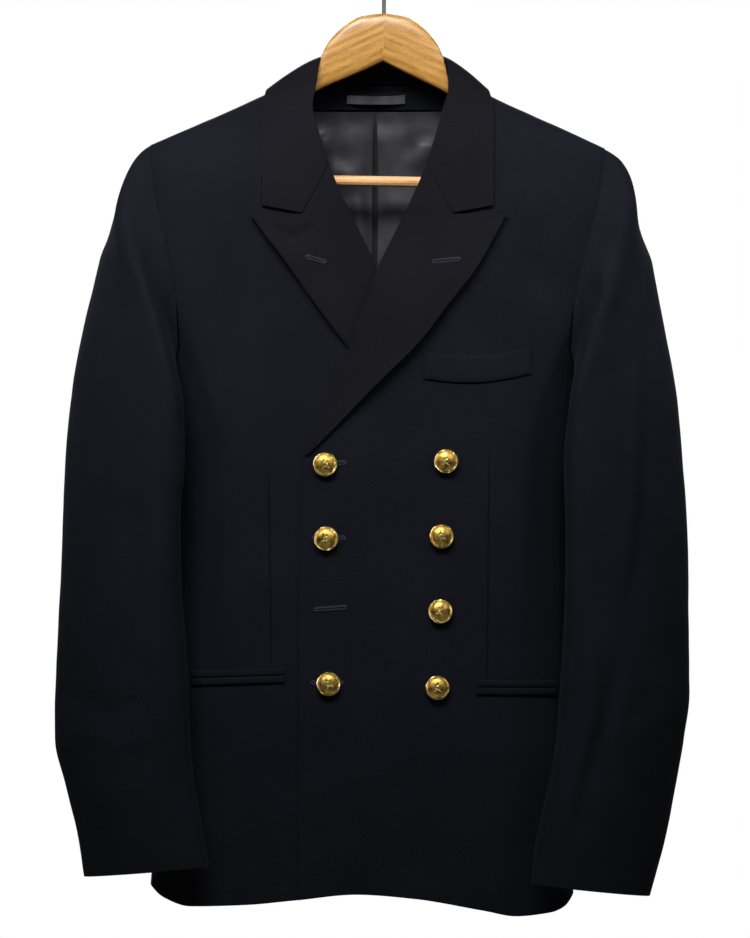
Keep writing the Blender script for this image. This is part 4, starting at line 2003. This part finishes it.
class JACKET_OT_hanger(Operator):
    """Makes the hanger's arms and finishes its bar and hook"""

    bl_idname = "jacket.hanger"
    bl_label = "Hanger"

    def execute(self, context):
        settings = context.scene.jacket_hanger
        for side, side_name in SIDE_NAME.items():
            slope = -side * HANGER_GRAIN + HANGER_TILT
            wood = lacquered_wood(f"hardwood, lacquered, {side_name} arm", slope, settings.wood,
                                  settings.wood_dark)
            piece = self.shape_arm(side, side_name)
            place_piece(piece, ["hanger_arm_" + side_name], "wood", wood)
        wood = lacquered_wood("hardwood, lacquered, bar", HANGER_TILT, settings.bar, settings.bar_dark)
        self.finish_node("trouser_bar", wood)
        self.finish_node("hanger_hook", drawn_steel("steel wire, drawn and plated"))
        return {"FINISHED"}

    @staticmethod
    def finish_node(node, material):
        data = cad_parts[node].data
        data.materials.clear()
        data.materials.append(material)

    @staticmethod
    def shape_arm(side, side_name):
        top = Curve(HANGER, "reach", "top")
        bottom = Curve(HANGER, "reach", "bottom")
        end = HANGER[-1].reach
        mesh = bmesh.new()
        rings = []
        for i in range(HANGER_STATIONS + 1):
            reach = max(end * i / HANGER_STATIONS, MITRE)
            wider = exp(-((reach - DOME_WIDER_AT) / DOME_WIDER_OVER) ** 2)
            shown = reach + DOME_WIDER[side] * wider * ease(reach / DOME_WIDER_OVER)
            middle = (top(reach) + bottom(reach)) / 2
            half = (top(reach) - bottom(reach)) / 2
            ring = []
            for angle in turn_steps(HANGER_CORNERS):
                y, z = cos(angle), sin(angle)
                round_y = abs(y) ** (2 / HANGER_POWER) * HANGER_HALF_THICK
                round_z = abs(z) ** (2 / HANGER_POWER) * half
                x, height = tilt_hanger(side * shown, middle + (round_z if z > 0 else -round_z))
                ring.append(mesh.verts.new((x, round_y if y > 0 else -round_y, height)))
            rings.append(ring)
        for first, second in zip(rings, rings[1:]):
            for k in range(HANGER_CORNERS):
                after = (k + 1) % HANGER_CORNERS
                mesh.faces.new((first[k], first[after], second[after], second[k]))
        mesh.faces.new(rings[0])
        mesh.faces.new(rings[-1])
        piece = mesh_piece("hanger_arm_" + side_name + "_wood", mesh)
        apex = HANGER[0].top
        hook_ends = (Vector((0.0, 0.0, apex + side * HOOK_DEPTH)) for side in (-1, 1))
        drill(piece, BORE_RADIUS, *hook_ends)
        bar_ends = [tilt_hanger(end * (BAR_END + GAP), BAR_HEIGHT) for end in (RIGHT, LEFT)]
        drill(piece, BAR_RADIUS + 2 * GAP, *(Vector((x, 0.0, z)) for x, z in bar_ends))
        return piece


class JACKET_PT_panel(Panel):
    """Lists the settings and the steps that build the jacket"""

    bl_idname = "JACKET_PT_panel"
    bl_label = "Reefer Jacket"
    bl_space_type = "VIEW_3D"
    bl_region_type = "UI"
    bl_category = "Jacket"

    def draw(self, context):
        for settings_name in SETTINGS:
            settings = getattr(context.scene, settings_name)
            box = self.layout.box()
            for name in settings.__annotations__:
                box.prop(settings, name)
        for step in STEPS:
            self.layout.operator(step.bl_idname)


SETTINGS = {
    "jacket_cloth": ClothSettings,
    "jacket_button": ButtonSettings,
    "jacket_hanger": HangerSettings,
    "jacket_stage": StageSettings,
}
STEPS = (
    JACKET_OT_stage, JACKET_OT_body, JACKET_OT_sleeves, JACKET_OT_collar, JACKET_OT_lapels,
    JACKET_OT_inside, JACKET_OT_pockets, JACKET_OT_buttonholes, JACKET_OT_buttons, JACKET_OT_hanger,
)


def register():
    for made in (*SETTINGS.values(), *STEPS, JACKET_PT_panel):
        bpy.utils.register_class(made)
    for name, group in SETTINGS.items():
        setattr(bpy.types.Scene, name, PointerProperty(type=group))


def unregister():
    for name in SETTINGS:
        delattr(bpy.types.Scene, name)
    for made in (JACKET_PT_panel, *STEPS[::-1], *SETTINGS.values()):
        bpy.utils.unregister_class(made)


def main():
    register()
    bpy.ops.jacket.stage()
    bpy.ops.jacket.body()
    bpy.ops.jacket.sleeves()
    bpy.ops.jacket.collar()
    bpy.ops.jacket.lapels()
    bpy.ops.jacket.inside()
    bpy.ops.jacket.pockets()
    bpy.ops.jacket.buttonholes()
    bpy.ops.jacket.buttons()
    bpy.ops.jacket.hanger()


if __name__ == "__main__":
    main()
